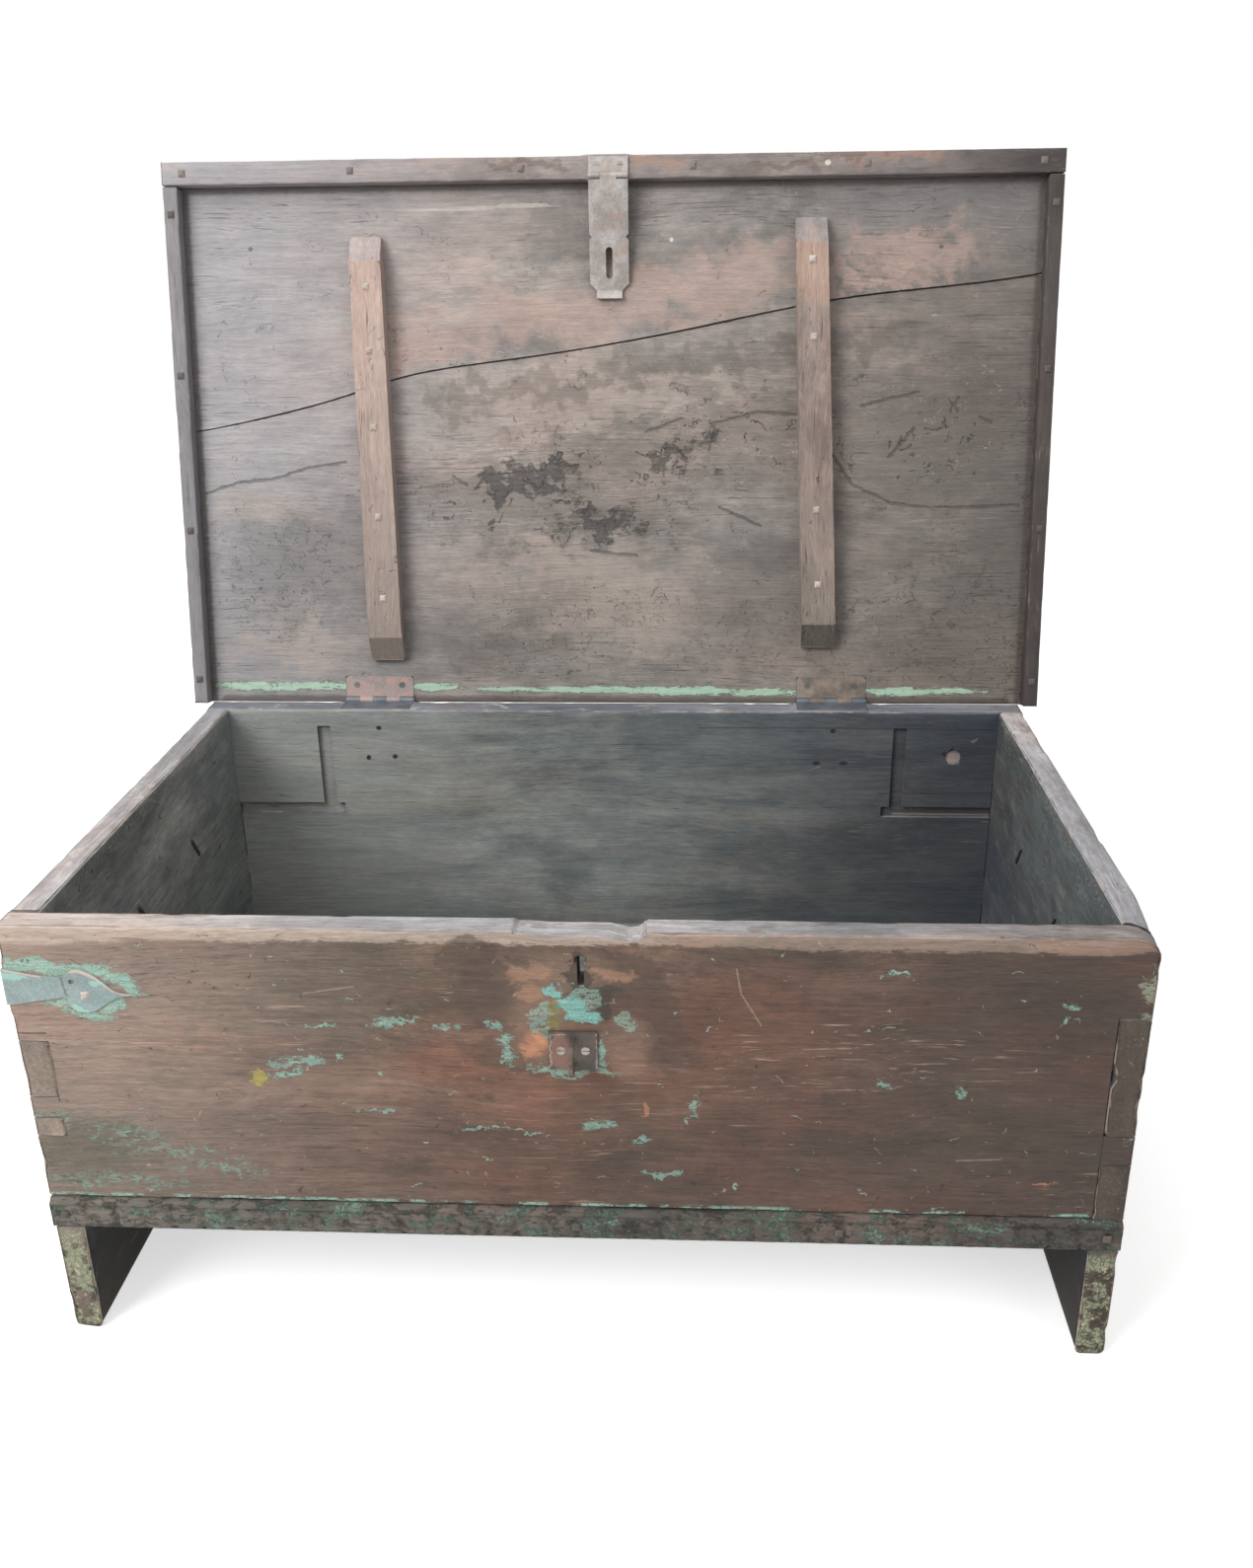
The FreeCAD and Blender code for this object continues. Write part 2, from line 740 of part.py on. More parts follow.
def side_rim(side):
    rim = block(side_rim_inner, lid_half_width, front_rim_inner, lid_rear, rim_bottom, lid_under)
    lower = edges_along(rim, Y, lambda p: near(p.z, rim_bottom))
    rim = rim.makeFillet(top_round / 2, lower)
    if side < 0:
        rim = mirrored_x(rim)
    return cut_all(rim, side_rim_nails)


def rim_nail_list():
    inset = side_rim_width / 2
    y = (lid_front + front_rim_inner) / 2
    xs = spread(-lid_half_width + inset + nail_end_inset, lid_half_width - inset - nail_end_inset,
                rim_nail_count)
    return [nail(at(x, y, rim_bottom), Z, rim_height + nail_bite) for x in xs]


def side_rim_nail_list():
    x = (side_rim_inner + lid_half_width) / 2
    ys = spread(front_rim_inner + 2 * nail_end_inset, lid_rear - 2 * nail_end_inset, side_rim_nail_count)
    return [nail(at(side * x, y, rim_bottom), Z, rim_height + nail_bite) for side in (-1, 1) for y in ys]


# ---- battens, clear of the case when the lid is shut ----
# each centre line as (x, y) at its back and front ends
batten_lines = {
    "left": ((left_batten_back_inset - half_width, hinge_y - left_batten_back),
             (left_batten_front_inset - half_width, front_rim_inner + left_batten_front_gap)),
    "right": ((half_width - right_batten_back_inset, hinge_y - right_batten_back),
              (half_width - right_batten_front_inset, front_rim_inner + right_batten_front_gap))}
batten_nail_shares = {"left": left_batten_nail_shares, "right": right_batten_nail_shares}


def batten(side):
    (back_x, back), (front_x, front) = batten_lines[side]
    low = lid_under - batten_thickness
    toe = lid_under - batten_toe
    profile = [(back, lid_under), (back, toe), (back - batten_bevel, low),
               (front + batten_bevel, low), (front, toe), (front, lid_under)]
    bar = prism_x(profile, -half_width, half_width)
    wide = batten_back_width / 2
    slim = batten_front_width / 2
    plan = prism_z([(back_x - wide, back), (back_x + wide, back),
                    (front_x + slim, front), (front_x - slim, front)], low, lid_under)
    return cut_all(bar.common(plan), batten_nails)


def batten_nail_list():
    nails = []
    for side, ((back_x, back), (front_x, front)) in batten_lines.items():
        for share in batten_nail_shares[side]:
            x = back_x + share * (front_x - back_x)
            y = back + share * (front - back)
            foot = at(x, y, lid_under - batten_thickness)
            nails.append(nail(foot, Z, batten_thickness + nail_bite))
    return nails


# ---- hasp: a fixed leaf under the front rim and a slotted leaf that swings from it ----
def hasp_screw_points():
    y = hasp_axis_y - hasp_screw_reach
    z = rim_bottom - hasp_thickness
    return [at(hasp_x + side * hasp_screw_spread / 2, y, z) for side in (-1, 1)]


hasp_screws = [screw(p, Z) for p in hasp_screw_points()]
hasp_seats = [screw_pocket(p, Z) for p in hasp_screw_points()]


def hasp_barrel(x0, x1, radius):
    return Part.makeCylinder(radius, x1 - x0, at(x0, hasp_axis_y, hasp_axis_z), X)


def hasp_fixed_leaf():
    half = hasp_width / 2
    middle = hasp_knuckle_width / 2
    plate = block(hasp_x - half, hasp_x + half, hasp_axis_y - hasp_fixed_reach, hasp_axis_y,
                  rim_bottom - hasp_thickness, rim_bottom)
    room = block(hasp_x - middle - knuckle_gap, hasp_x + middle + knuckle_gap,
                 hasp_axis_y - hasp_knuckle_radius - knuckle_gap, hasp_axis_y,
                 rim_bottom - hasp_thickness, rim_bottom)
    plate = plate.cut(room)
    plate = plate.fuse(hasp_barrel(hasp_x - half, hasp_x - middle - knuckle_gap, hasp_knuckle_radius))
    plate = plate.fuse(hasp_barrel(hasp_x + middle + knuckle_gap, hasp_x + half, hasp_knuckle_radius))
    bore = hasp_barrel(hasp_x - half, hasp_x + half, hasp_pin_radius + pin_clearance)
    return cut_all(plate, [bore] + hasp_seats).removeSplitter()


def hasp_pin():
    half = hasp_width / 2 + hasp_pin_past
    return hasp_barrel(hasp_x - half, hasp_x + half, hasp_pin_radius)


hasp_flat_length = hasp_leaf_length - hasp_lip_length
hasp_hang = hasp_axis_z - hasp_knuckle_radius      # outer face of the leaf before it leans
hasp_lean = math.degrees(math.asin(
    (lid_under - hasp_hang - hasp_thickness - hasp_rest_gap) / hasp_flat_length))


def hasp_leaf():
    """laid out flat towards the hinges, then leaned until its bend all but touches the lid"""
    half = hasp_width / 2
    middle = hasp_knuckle_width / 2
    narrow = half - hasp_shoulder
    notch_mid = hasp_notch_start + hasp_notch
    notch_end = notch_mid + hasp_notch
    side = [(middle, 0),
            (middle, hasp_knuckle_radius + knuckle_gap),
            (half, hasp_knuckle_radius + knuckle_gap),
            (half, hasp_notch_start),
            (half - hasp_notch, notch_mid),
            (half, notch_end),
            (half, hasp_flat_length - hasp_shoulder),
            (narrow, hasp_flat_length)]
    outline = [(hasp_x + x, hasp_axis_y + y) for x, y in side]
    outline += [(hasp_x - x, hasp_axis_y + y) for x, y in reversed(side)]
    plate = prism_z(outline, hasp_hang, hasp_hang + hasp_thickness)
    lip = block(hasp_x - narrow, hasp_x + narrow, hasp_axis_y + hasp_flat_length,
                hasp_axis_y + hasp_leaf_length, hasp_hang, hasp_hang + hasp_thickness)
    lip = turned(lip, at(0, hasp_axis_y + hasp_flat_length, hasp_hang), X, -hasp_lip_tilt)
    heel = Part.makeCylinder(hasp_thickness, 2 * narrow,
                             at(hasp_x - narrow, hasp_axis_y + hasp_flat_length, hasp_hang), X)
    heel = heel.common(block(-all_across, all_across, hasp_axis_y, hasp_axis_y + hasp_leaf_length,
                             hasp_hang, lid_under))
    barrel = hasp_barrel(hasp_x - middle, hasp_x + middle, hasp_knuckle_radius)
    leaf = plate.fuse(lip).fuse(heel).fuse(barrel)
    bore = hasp_barrel(hasp_x - middle, hasp_x + middle, hasp_pin_radius + pin_clearance)
    leaf = cut_all(leaf, [bore, hasp_slot()]).removeSplitter()
    return turned(leaf, at(0, hasp_axis_y, hasp_axis_z), X, hasp_lean)


def hasp_slot():
    radius = hasp_slot_width / 2
    start = hasp_axis_y + hasp_slot_start + radius
    end = hasp_axis_y + hasp_slot_start + hasp_slot_length - radius
    slot = block(hasp_x - radius, hasp_x + radius, start, end, hasp_hang, hasp_hang + hasp_thickness)
    for y in (start, end):
        slot = slot.fuse(Part.makeCylinder(radius, hasp_thickness, at(hasp_x, y, hasp_hang)))
    return slot


rim_nails = rim_nail_list()
side_rim_nails = side_rim_nail_list()
batten_nails = batten_nail_list()
lid_cutters = (rim_nails + side_rim_nails + batten_nails + lid_seats + hasp_seats
               + [hinge_bay(x, lid_under, leaf_high) for x in hinge_places])


# ---- the pieces, case first ----
case_pieces = {
    "front_board": front_board(),
    "back_board": back_board(),
    "left_end_board": end_board(-1),
    "right_end_board": end_board(1),
    "floor_board_front": floor_board(0),
    "floor_board_middle": floor_board(1),
    "floor_board_rear": floor_board(2),
    "base_rail": base_rail(),
    "rail_nails": Part.makeCompound(rail_nails),
    "floor_nails": Part.makeCompound(floor_nails),
    "knot_plug": knot_plug(),
    "corner_strap": corner_strap(),
    "strap_nails": Part.makeCompound(strap_nails),
    "staple": staple(),
    "staple_screws": Part.makeCompound(staple_screws),
    "left_hinge_case_leaf": hinge_leaf(left_hinge_x, leaf_low, chest_height, 0, case_seats),
    "right_hinge_case_leaf": hinge_leaf(right_hinge_x, leaf_low, chest_height, 0, case_seats),
    "left_hinge_pin": hinge_pin(left_hinge_x),
    "right_hinge_pin": hinge_pin(right_hinge_x),
    "hinge_case_screws": Part.makeCompound(case_screws),
    "left_handle_eyes": Part.makeCompound(left_pins),
    "right_handle_eyes": Part.makeCompound(right_pins),
    "left_handle_bail": mirrored_x(bail()),
    "right_handle_bail": bail(),
}

lid_pieces = {
    "lid_front_plank": lid_front_plank(),
    "lid_rear_plank": lid_rear_plank(),
    "lid_front_rim": front_rim(),
    "lid_left_rim": side_rim(-1),
    "lid_right_rim": side_rim(1),
    "left_batten": batten("left"),
    "right_batten": batten("right"),
    "batten_nails": Part.makeCompound(batten_nails),
    "front_rim_nails": Part.makeCompound(rim_nails),
    "side_rim_nails": Part.makeCompound(side_rim_nails),
    "left_hinge_lid_leaf": hinge_leaf(left_hinge_x, lid_under, leaf_high, 1, lid_seats),
    "right_hinge_lid_leaf": hinge_leaf(right_hinge_x, lid_under, leaf_high, 1, lid_seats),
    "hinge_lid_screws": Part.makeCompound(lid_screws),
    "hasp_fixed_leaf": hasp_fixed_leaf(),
    "hasp_screws": Part.makeCompound(hasp_screws),
    "hasp_pin": hasp_pin(),
    "hasp_leaf": hasp_leaf(),
}

# the open chest reaches from the staple's loop to the lid's upper back corner
foremost = front_face - staple_thickness - loop_reach
open_turn = math.radians(lid_open_angle)
lid_reach = hinge_y - lid_front
lid_rise = lid_under + lid_thickness - hinge_z
rearmost = hinge_y - lid_reach * math.cos(open_turn) + lid_rise * math.sin(open_turn)
origin_shift = at(0, -(foremost + rearmost) / 2, 0)

os.makedirs("parts", exist_ok=True)
hinge_line = at(0, hinge_y, hinge_z)
for name, shape in case_pieces.items():
    shape.translate(origin_shift)
    shape.exportStep("parts/" + name + ".step")
for name, shape in lid_pieces.items():
    opened = turned(shape, hinge_line, X, -lid_open_angle)
    opened.translate(origin_shift)
    opened.exportStep("parts/" + name + ".step")

print("pieces", len(case_pieces) + len(lid_pieces))
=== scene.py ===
import json
import math
import bmesh
import bpy
from mathutils import Matrix, Vector, noise


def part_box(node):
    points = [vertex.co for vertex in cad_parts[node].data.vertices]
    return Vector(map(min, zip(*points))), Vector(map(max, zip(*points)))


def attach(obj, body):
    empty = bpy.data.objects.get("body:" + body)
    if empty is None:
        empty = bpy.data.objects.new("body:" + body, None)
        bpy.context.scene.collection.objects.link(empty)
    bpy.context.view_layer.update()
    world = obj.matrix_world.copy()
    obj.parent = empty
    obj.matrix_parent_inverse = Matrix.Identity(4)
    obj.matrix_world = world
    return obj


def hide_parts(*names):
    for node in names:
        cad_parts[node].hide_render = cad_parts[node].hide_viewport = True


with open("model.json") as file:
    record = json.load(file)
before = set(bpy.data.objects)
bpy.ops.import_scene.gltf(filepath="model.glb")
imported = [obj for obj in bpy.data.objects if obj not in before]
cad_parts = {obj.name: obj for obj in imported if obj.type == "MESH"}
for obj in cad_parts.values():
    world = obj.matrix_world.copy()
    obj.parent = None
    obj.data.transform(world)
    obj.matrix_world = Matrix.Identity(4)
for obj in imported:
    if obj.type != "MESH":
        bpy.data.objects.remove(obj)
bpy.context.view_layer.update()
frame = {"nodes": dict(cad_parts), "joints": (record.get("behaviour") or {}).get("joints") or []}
nodes = frame["nodes"]
print("frame loaded")


def boxOf(nodeName):
    low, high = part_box(nodeName)
    return Vector(low), Vector(high)


# the lid's boards are worked on as if it were shut, so their edges and grain stay level
hinge = next(joint for joint in frame["joints"] if joint["name"] == "lid_hinge")
lidPivot = Vector(hinge["pos_m"])
lidOpen = math.radians(hinge["range_deg"][1])
shutLid = Matrix.Translation(lidPivot) @ Matrix.Rotation(lidOpen, 4, "X") @ Matrix.Translation(-lidPivot)
openLid = shutLid.inverted()
caseTop = boxOf("front_board")[1].z
railTop = boxOf("base_rail")[1].z
inX, inY, inZ = 0, 1, 2
millimetre = 0.001
now = {"tree": None}    # the node tree that the helpers work in


def feed(target, value):    # a socket is linked, anything else is set
    if isinstance(value, bpy.types.NodeSocket):
        now["tree"].links.new(value, target)
    else:
        target.default_value = value


def put(kind, inputs=None, **settings):
    node = now["tree"].nodes.new(kind)
    for name, value in settings.items():
        setattr(node, name, value)
    for key, value in (inputs or {}).items():
        feed(node.inputs[key], value)
    return node


def calc(operation, a, b=0.0):
    return put("ShaderNodeMath", {0: a, 1: b}, operation=operation).outputs[0]


def times(a, b):
    return calc("MULTIPLY", a, b)


def plus(a, b):
    return calc("ADD", a, b)


def minus(a, b):
    return calc("SUBTRACT", a, b)


def arrow(operation, a, b=(0.0, 0.0, 0.0)):
    return put("ShaderNodeVectorMath", {0: a, 1: b}, operation=operation).outputs[0]


def scaled(vector, factor):
    return put("ShaderNodeVectorMath", {0: vector, "Scale": factor}, operation="SCALE").outputs[0]


def length(vector):
    return put("ShaderNodeVectorMath", {0: vector}, operation="LENGTH").outputs["Value"]


def dot(a, b):
    return put("ShaderNodeVectorMath", {0: a, 1: b}, operation="DOT_PRODUCT").outputs["Value"]


def reading(vector, axis):    # one coordinate of a vector
    return dot(vector, [float(axis == each) for each in range(3)])


def remap(value, low, high, outLow=0.0, outHigh=1.0):
    inputs = {0: value, 1: low, 2: high, 3: outLow, 4: outHigh}
    return put("ShaderNodeMapRange", inputs, interpolation_type="SMOOTHSTEP").outputs[0]


def band(level, low, high, fade):
    rise = remap(level, low - fade, low + fade)
    return times(rise, remap(level, high - fade, high + fade, 1.0, 0.0))


def tint(red, green, blue):    # a colour of 0 to 255 as the shader wants it
    shares = [value / 255 for value in (red, green, blue)]
    return tuple(s / 12.92 if s <= 0.04045 else ((s + 0.055) / 1.055) ** 2.4 for s in shares) + (1.0,)


def mixed(factor, a, b, mode="MIX"):
    a, b = (tint(*each) if isinstance(each, tuple) else each for each in (a, b))
    return put("ShaderNodeMix", {0: factor, 6: a, 7: b}, data_type="RGBA", blend_type=mode).outputs[2]


def shaded(colour, factor, share=1.0):
    grey = put("ShaderNodeCombineColor", {0: factor, 1: factor, 2: factor}).outputs[0]
    return mixed(share, colour, grey, "MULTIPLY")


def cloud(vector, scale, detail=3.0, rough=0.55, bend=0.0):
    inputs = {"Vector": vector, "Scale": scale, "Detail": detail, "Roughness": rough, "Distortion": bend}
    return put("ShaderNodeTexNoise", inputs).outputs["Fac"]


def fibred(place, along, across, *settings):    # noise drawn out along X
    return cloud(arrow("MULTIPLY", place, (along, across, across)), 1.0, *settings)


def turned(vector, angle, axis, centre=(0.0, 0.0, 0.0)):
    inputs = {"Vector": vector, "Center": centre, "Angle": angle}
    return put("ShaderNodeVectorRotate", inputs, rotation_type=axis + "_AXIS").outputs[0]


def newGroup(name, values, results):    # every group reads a Vector; a None stands for one more
    group = now["tree"] = bpy.data.node_groups.new(name, "ShaderNodeTree")
    for label, value in {"Vector": None, **values}.items():
        kind = "NodeSocketVector" if value is None else "NodeSocketFloat"
        socket = group.interface.new_socket(label, in_out="INPUT", socket_type=kind)
        if value is not None:
            socket.default_value = value
    for label in results:
        group.interface.new_socket(label, in_out="OUTPUT", socket_type="NodeSocketFloat")
    return group, put("NodeGroupInput").outputs, put("NodeGroupOutput").inputs


def useGroup(group, inputs):
    return put("ShaderNodeGroup", inputs, node_tree=group).outputs


def picked(settings, *names):    # a finish's own values under the names of a group's inputs
    return {name.capitalize(): settings[name] for name in names if name in settings}


# shared effects
def makeGrain():    # old sawn grain along X: broad figure, fibres, a few pale and dark threads
    results = ("Figure", "Fibre", "Pale", "Dark", "Height")
    group, given, result = newGroup("woodGrain", {}, results)
    place = given["Vector"]
    lift = times(minus(fibred(place, 2.5, 6.0, 2.0), 0.5), 0.05)
    lift = put("ShaderNodeCombineXYZ", {1: lift, 2: lift}).outputs[0]
    place = arrow("ADD", place, lift)
    figure = fibred(place, 3.0, 24.0, 9.0, 0.72, 0.4)
    fibre = fibred(place, 16.0, 330.0, 5.0, 0.75)
    fine = fibred(place, 90.0, 1100.0, 3.0, 0.7)
    threads = fibred(place, 16.0, 560.0, 3.0, 0.6)
    stands = fibred(place, 4.0, 11.0, 3.0)
    pale = times(remap(threads, 0.60, 0.70), remap(stands, 0.46, 0.62))
    dark = times(remap(threads, 0.40, 0.31), remap(stands, 0.56, 0.42))
    height = plus(times(fibre, 0.7), times(fine, 0.35))
    height = plus(height, times(figure, 0.5))
    height = minus(height, times(dark, 0.3))
    fibre = plus(times(fibre, 0.55), times(fine, 0.45))
    for label, value in zip(results, (figure, fibre, pale, dark, height)):
        feed(result[label], value)
    return group


def makeRagged():    # turns a distance into a mask with a ragged edge, broken along the fibres
    values = {"Far": 0.0, "Fibre": 0.5, "Ragged": 0.2, "Erode": 0.0, "Grit": 60.0, "Soft": 0.08}
    group, given, result = newGroup("raggedEdge", values, ("Mask",))
    lobes = cloud(given["Vector"], given["Grit"], 8.0, 0.72)
    torn = times(minus(lobes, 0.5), given["Ragged"])
    eaten = times(minus(given["Fibre"], 0.5), given["Erode"])
    far = plus(given["Far"], times(torn, 12.0))
    far = plus(far, times(eaten, 10.0))
    low = minus(1.0, given["Soft"])
    feed(result["Mask"], remap(far, low, plus(1.0, given["Soft"]), 1.0, 0.0))
    return group


def makeNearLine():    # distance from a straight scratch between two points
    group, given, result = newGroup("nearLine", {"Start": None, "End": None}, ("Distance",))
    run = arrow("SUBTRACT", given["End"], given["Start"])
    out = arrow("SUBTRACT", given["Vector"], given["Start"])
    shares = {0: dot(out, run), 1: dot(run, run)}
    share = put("ShaderNodeMath", shares, operation="DIVIDE", use_clamp=True).outputs[0]
    feed(result["Distance"], length(arrow("SUBTRACT", out, scaled(run, share))))
    return group


def makeStrokes():    # one short mark in each cell: length, lean and presence differ from cell to cell
    values = {"Scale": 60.0, "Reach": 0.4, "Slim": 0.05, "Lean": 0.0, "Spread": 1.0, "Share": 0.6}
    group, given, result = newGroup("shortStrokes", values, ("Mask",))
    cells = put("ShaderNodeTexVoronoi", {"Vector": given["Vector"], "Scale": given["Scale"]},
                voronoi_dimensions="2D").outputs
    away = arrow("SUBTRACT", given["Vector"], cells["Position"])
    chance = put("ShaderNodeSeparateColor", {0: cells["Color"]}).outputs
    turn = times(minus(chance[0], 0.5), given["Spread"])
    away = turned(away, plus(given["Lean"], turn), "Z")
    along, across = (reading(away, axis) for axis in (0, 1))
    reach = times(given["Reach"], remap(chance[1], 0.0, 1.0, 0.35, 1.0))
    along = calc("DIVIDE", times(along, given["Scale"]), reach)
    across = calc("DIVIDE", times(across, given["Scale"]), given["Slim"])
    far = length(put("ShaderNodeCombineXYZ", {0: along, 1: across}).outputs[0])
    here = calc("LESS_THAN", chance[2], given["Share"])
    feed(result["Mask"], times(remap(far, 0.6, 1.0, 1.0, 0.0), here))
    return group


def makeFlakes():    # crumbs of old paint, crazed where they are large
    group, given, result = newGroup("paintFlakes", {"Amount": 0.1, "Scale": 60.0}, ("Mask",))
    place = arrow("MULTIPLY", given["Vector"], (0.5, 1.0, 1.0))
    islands = cloud(place, given["Scale"], 8.0, 0.72)
    low = minus(0.74, times(given["Amount"], 0.5))
    mask = remap(islands, low, plus(low, 0.025))
    cells = {"Vector": place, "Scale": times(given["Scale"], 4.0)}
    crazing = put("ShaderNodeTexVoronoi", cells, feature="DISTANCE_TO_EDGE").outputs["Distance"]
    feed(result["Mask"], times(mask, remap(crazing, 0.02, 0.09, 0.25, 1.0)))
    return group


def makeWear():    # where hands and years have rubbed the arrises; the mesh tells how near an edge is
    group, given, result = newGroup("edgeWear", {"Amount": 0.5, "Scale": 40.0}, ("Mask",))
    near = put("ShaderNodeAttribute", attribute_name="edge").outputs["Fac"]
    broken = minus(cloud(given["Vector"], given["Scale"], 5.0, 0.65), 0.5)
    level = plus(near, times(broken, 1.6))
    low = minus(1.0, given["Amount"])
    feed(result["Mask"], remap(level, low, plus(low, 0.25)))
    return group


def makeRust():    # blotches of rust, and a fine tone over all the iron
    group, given, result = newGroup("ironRust", {"Scale": 90.0, "Amount": 0.5}, ("Mask", "Tone", "Height"))
    blotch = cloud(given["Vector"], given["Scale"], 6.0, 0.68)
    low = minus(0.8, times(given["Amount"], 0.6))
    mask = remap(blotch, low, plus(low, 0.18))
    fine = cloud(given["Vector"], times(given["Scale"], 8.0), 4.0, 0.7)
    feed(result["Mask"], mask)
    feed(result["Tone"], fine)
    feed(result["Height"], plus(times(mask, 0.5), fine))
    return group


grainGroup = makeGrain()
raggedGroup = makeRagged()
nearLineGroup = makeNearLine()
strokeGroup = makeStrokes()
flakeGroup = makeFlakes()
wearGroup = makeWear()
rustGroup = makeRust()
print("shared effects made")

mint = (142, 180, 166)
greyMint = (136, 160, 146)
turquoise = (122, 176, 168)
olive = (122, 112, 74)
yellowPaint = (146, 134, 80)
paleDust = (170, 150, 136)
freshWood = (186, 130, 98)
bareTan = (170, 144, 126)
# near-black for dark threads, stains, cracks, holes and pits, and for painted shadow in the gap above the
# rail
inkStainAndShade = (44, 42, 42)


# materials
def startNodes(owner, kind):    # a material's or the world's nodes, begun anew
    owner.use_nodes = True
    now["tree"] = owner.node_tree
    owner.node_tree.nodes.clear()
    return put(kind).inputs[0]


def newMaterial(name):
    material = bpy.data.materials.new(name)
    out = startNodes(material, "ShaderNodeOutputMaterial")
    shader = put("ShaderNodeBsdfPrincipled")
    feed(out, shader.outputs[0])
    return material, shader


# the place and facing at rest; on the lid as when shut, with Y counted from the hinge line
def ownPlace(lid):
    coordinates = put("ShaderNodeTexCoord").outputs
    place = coordinates["Object"]
    facing = coordinates["Normal"]
    if lid:
        place = turned(place, lidOpen, "X", lidPivot)
        place = arrow("MULTIPLY", arrow("SUBTRACT", place, (0.0, lidPivot.y, 0.0)), (1.0, -1.0, 1.0))
        facing = turned(facing, lidOpen, "X")
    return place, facing


def faces(facing, axis, sign, low=0.45, high=0.75):
    return remap(times(reading(facing, axis), sign), low, high)


def flatten(place, face):    # a face as a sheet: its level run, then up it or away from the hinge
    first, second = {inX: (1, 2), inY: (0, 2), inZ: (0, 1)}[face]
    readings = {0: reading(place, first), 1: reading(place, second)}
    return put("ShaderNodeCombineXYZ", readings).outputs[0]


def wobbled(flat, coarse, fine):    # the sheet bent a little, so that what lies on it has an outline
    for scale, reach in ((34.0, coarse), (240.0, fine)):
        bend = put("ShaderNodeTexNoise", {"Vector": flat, "Scale": scale, "Detail": 3.0, "Roughness": 0.6})
        shift = arrow("SUBTRACT", bend.outputs["Color"], (0.5, 0.5, 0.5))
        flat = arrow("ADD", flat, arrow("MULTIPLY", shift, (reach, reach, 0.0)))
    return flat


# "here" holds what a material's zones share: place, facing, fibre, wobble, their face and what is laid
def sheetOf(here, calm, kind="plain"):    # the face's sheet, and the same drawn out along its fibres
    face = here["face"][0]
    if (face, calm) not in here["laid"]:
        flat = flatten(here["place"], face)
        flat = flat if calm else wobbled(flat, *here["wobble"])
        here["laid"][face, calm] = {"plain": flat, "drawn": arrow("MULTIPLY", flat, (0.6, 1.0, 1.0))}
    return here["laid"][face, calm][kind]


def facesOnce(here, face, sign):
    key = ("faces", face, sign)
    if key not in here["laid"]:
        here["laid"][key] = faces(here["facing"], face, sign)
    return here["laid"][key]


# how far a place lies from the zone's spots and paths, given in millimetres, as a share of their size
def nearest(sheet, zone):
    far = None
    for spot in zone.get("spots", ()):
        across, up, halfWide, halfHigh = (each * millimetre for each in spot)
        away = arrow("SUBTRACT", sheet, (across, up, 0.0))
        near = length(arrow("MULTIPLY", away, (1 / halfWide, 1 / halfHigh, 0.0)))
        far = near if far is None else calc("MINIMUM", far, near)
    for path in zone.get("paths", ()):
        points = [(across * millimetre, up * millimetre, 0.0) for across, up in path]
        for start, end in zip(points, points[1:]):
            ends = {"Vector": sheet, "Start": start, "End": end}
            near = useGroup(nearLineGroup, ends)["Distance"]
            near = calc("DIVIDE", near, zone["width"] * millimetre)
            far = near if far is None else calc("MINIMUM", far, near)
    return far


def zoneMask(here, zone):    # one mask for all that a zone lays; a named area may be used again
    sheet = sheetOf(here, "calm" in zone)
    if "spots" in zone or "paths" in zone:
        mask = useGroup(raggedGroup, {
            "Vector": sheetOf(here, "calm" in zone, "drawn"), "Far": nearest(sheet, zone),
            "Fibre": here["fibre"], **picked(zone, "ragged", "erode", "grit", "soft")})["Mask"]
        mask = times(mask, facesOnce(here, *here["face"]))
    elif "area" in zone:
        mask = here["laid"][zone["area"]]
    else:
        mask = facesOnce(here, *here["face"])
    if "name" in zone:
        here["laid"][zone["name"]] = mask
    if "strokes" in zone:
        marks = picked(zone["strokes"], "scale", "reach", "slim", "lean", "spread", "share")
        mask = times(mask, useGroup(strokeGroup, {"Vector": sheet, **marks})["Mask"])
    if "flakes" in zone:
        crumbs = {"Vector": here["place"], "Amount": zone["flakes"], "Scale": zone.get("crumb", 120.0)}
        mask = times(mask, useGroup(flakeGroup, crumbs)["Mask"])
    return times(mask, zone.get("strength", 1.0))


def baseWood(grain, along, finish):
    dark, middle, light = finish["colours"]
    colour = mixed(remap(grain["Figure"], 0.34, 0.54), dark, middle)
    colour = mixed(remap(grain["Figure"], 0.50, 0.68), colour, light)
    drift = fibred(along, 2.6, 6.5, 5.0, 0.62)
    for label, low, high in (("warm", 0.50, 0.62), ("dull", 0.50, 0.38)):
        if label in finish:
            shade, share = finish[label]
            colour = mixed(remap(drift, low, high, 0.0, share), colour, shade)
    drawn = arrow("MULTIPLY", along, (0.5, 1.0, 1.0))
    for scale, low, high, shade, share in finish.get("patches", ()):
        spread = cloud(drawn, scale, 7.0, 0.66, 0.3)
        colour = mixed(remap(spread, low, high, 0.0, share), colour, shade)
    blotch = fibred(along, 14.0, 24.0, 8.0, 0.74)
    return shaded(colour, remap(blotch, 0.3, 0.7, 0.72, 1.28), finish.get("blotch", 0.8))


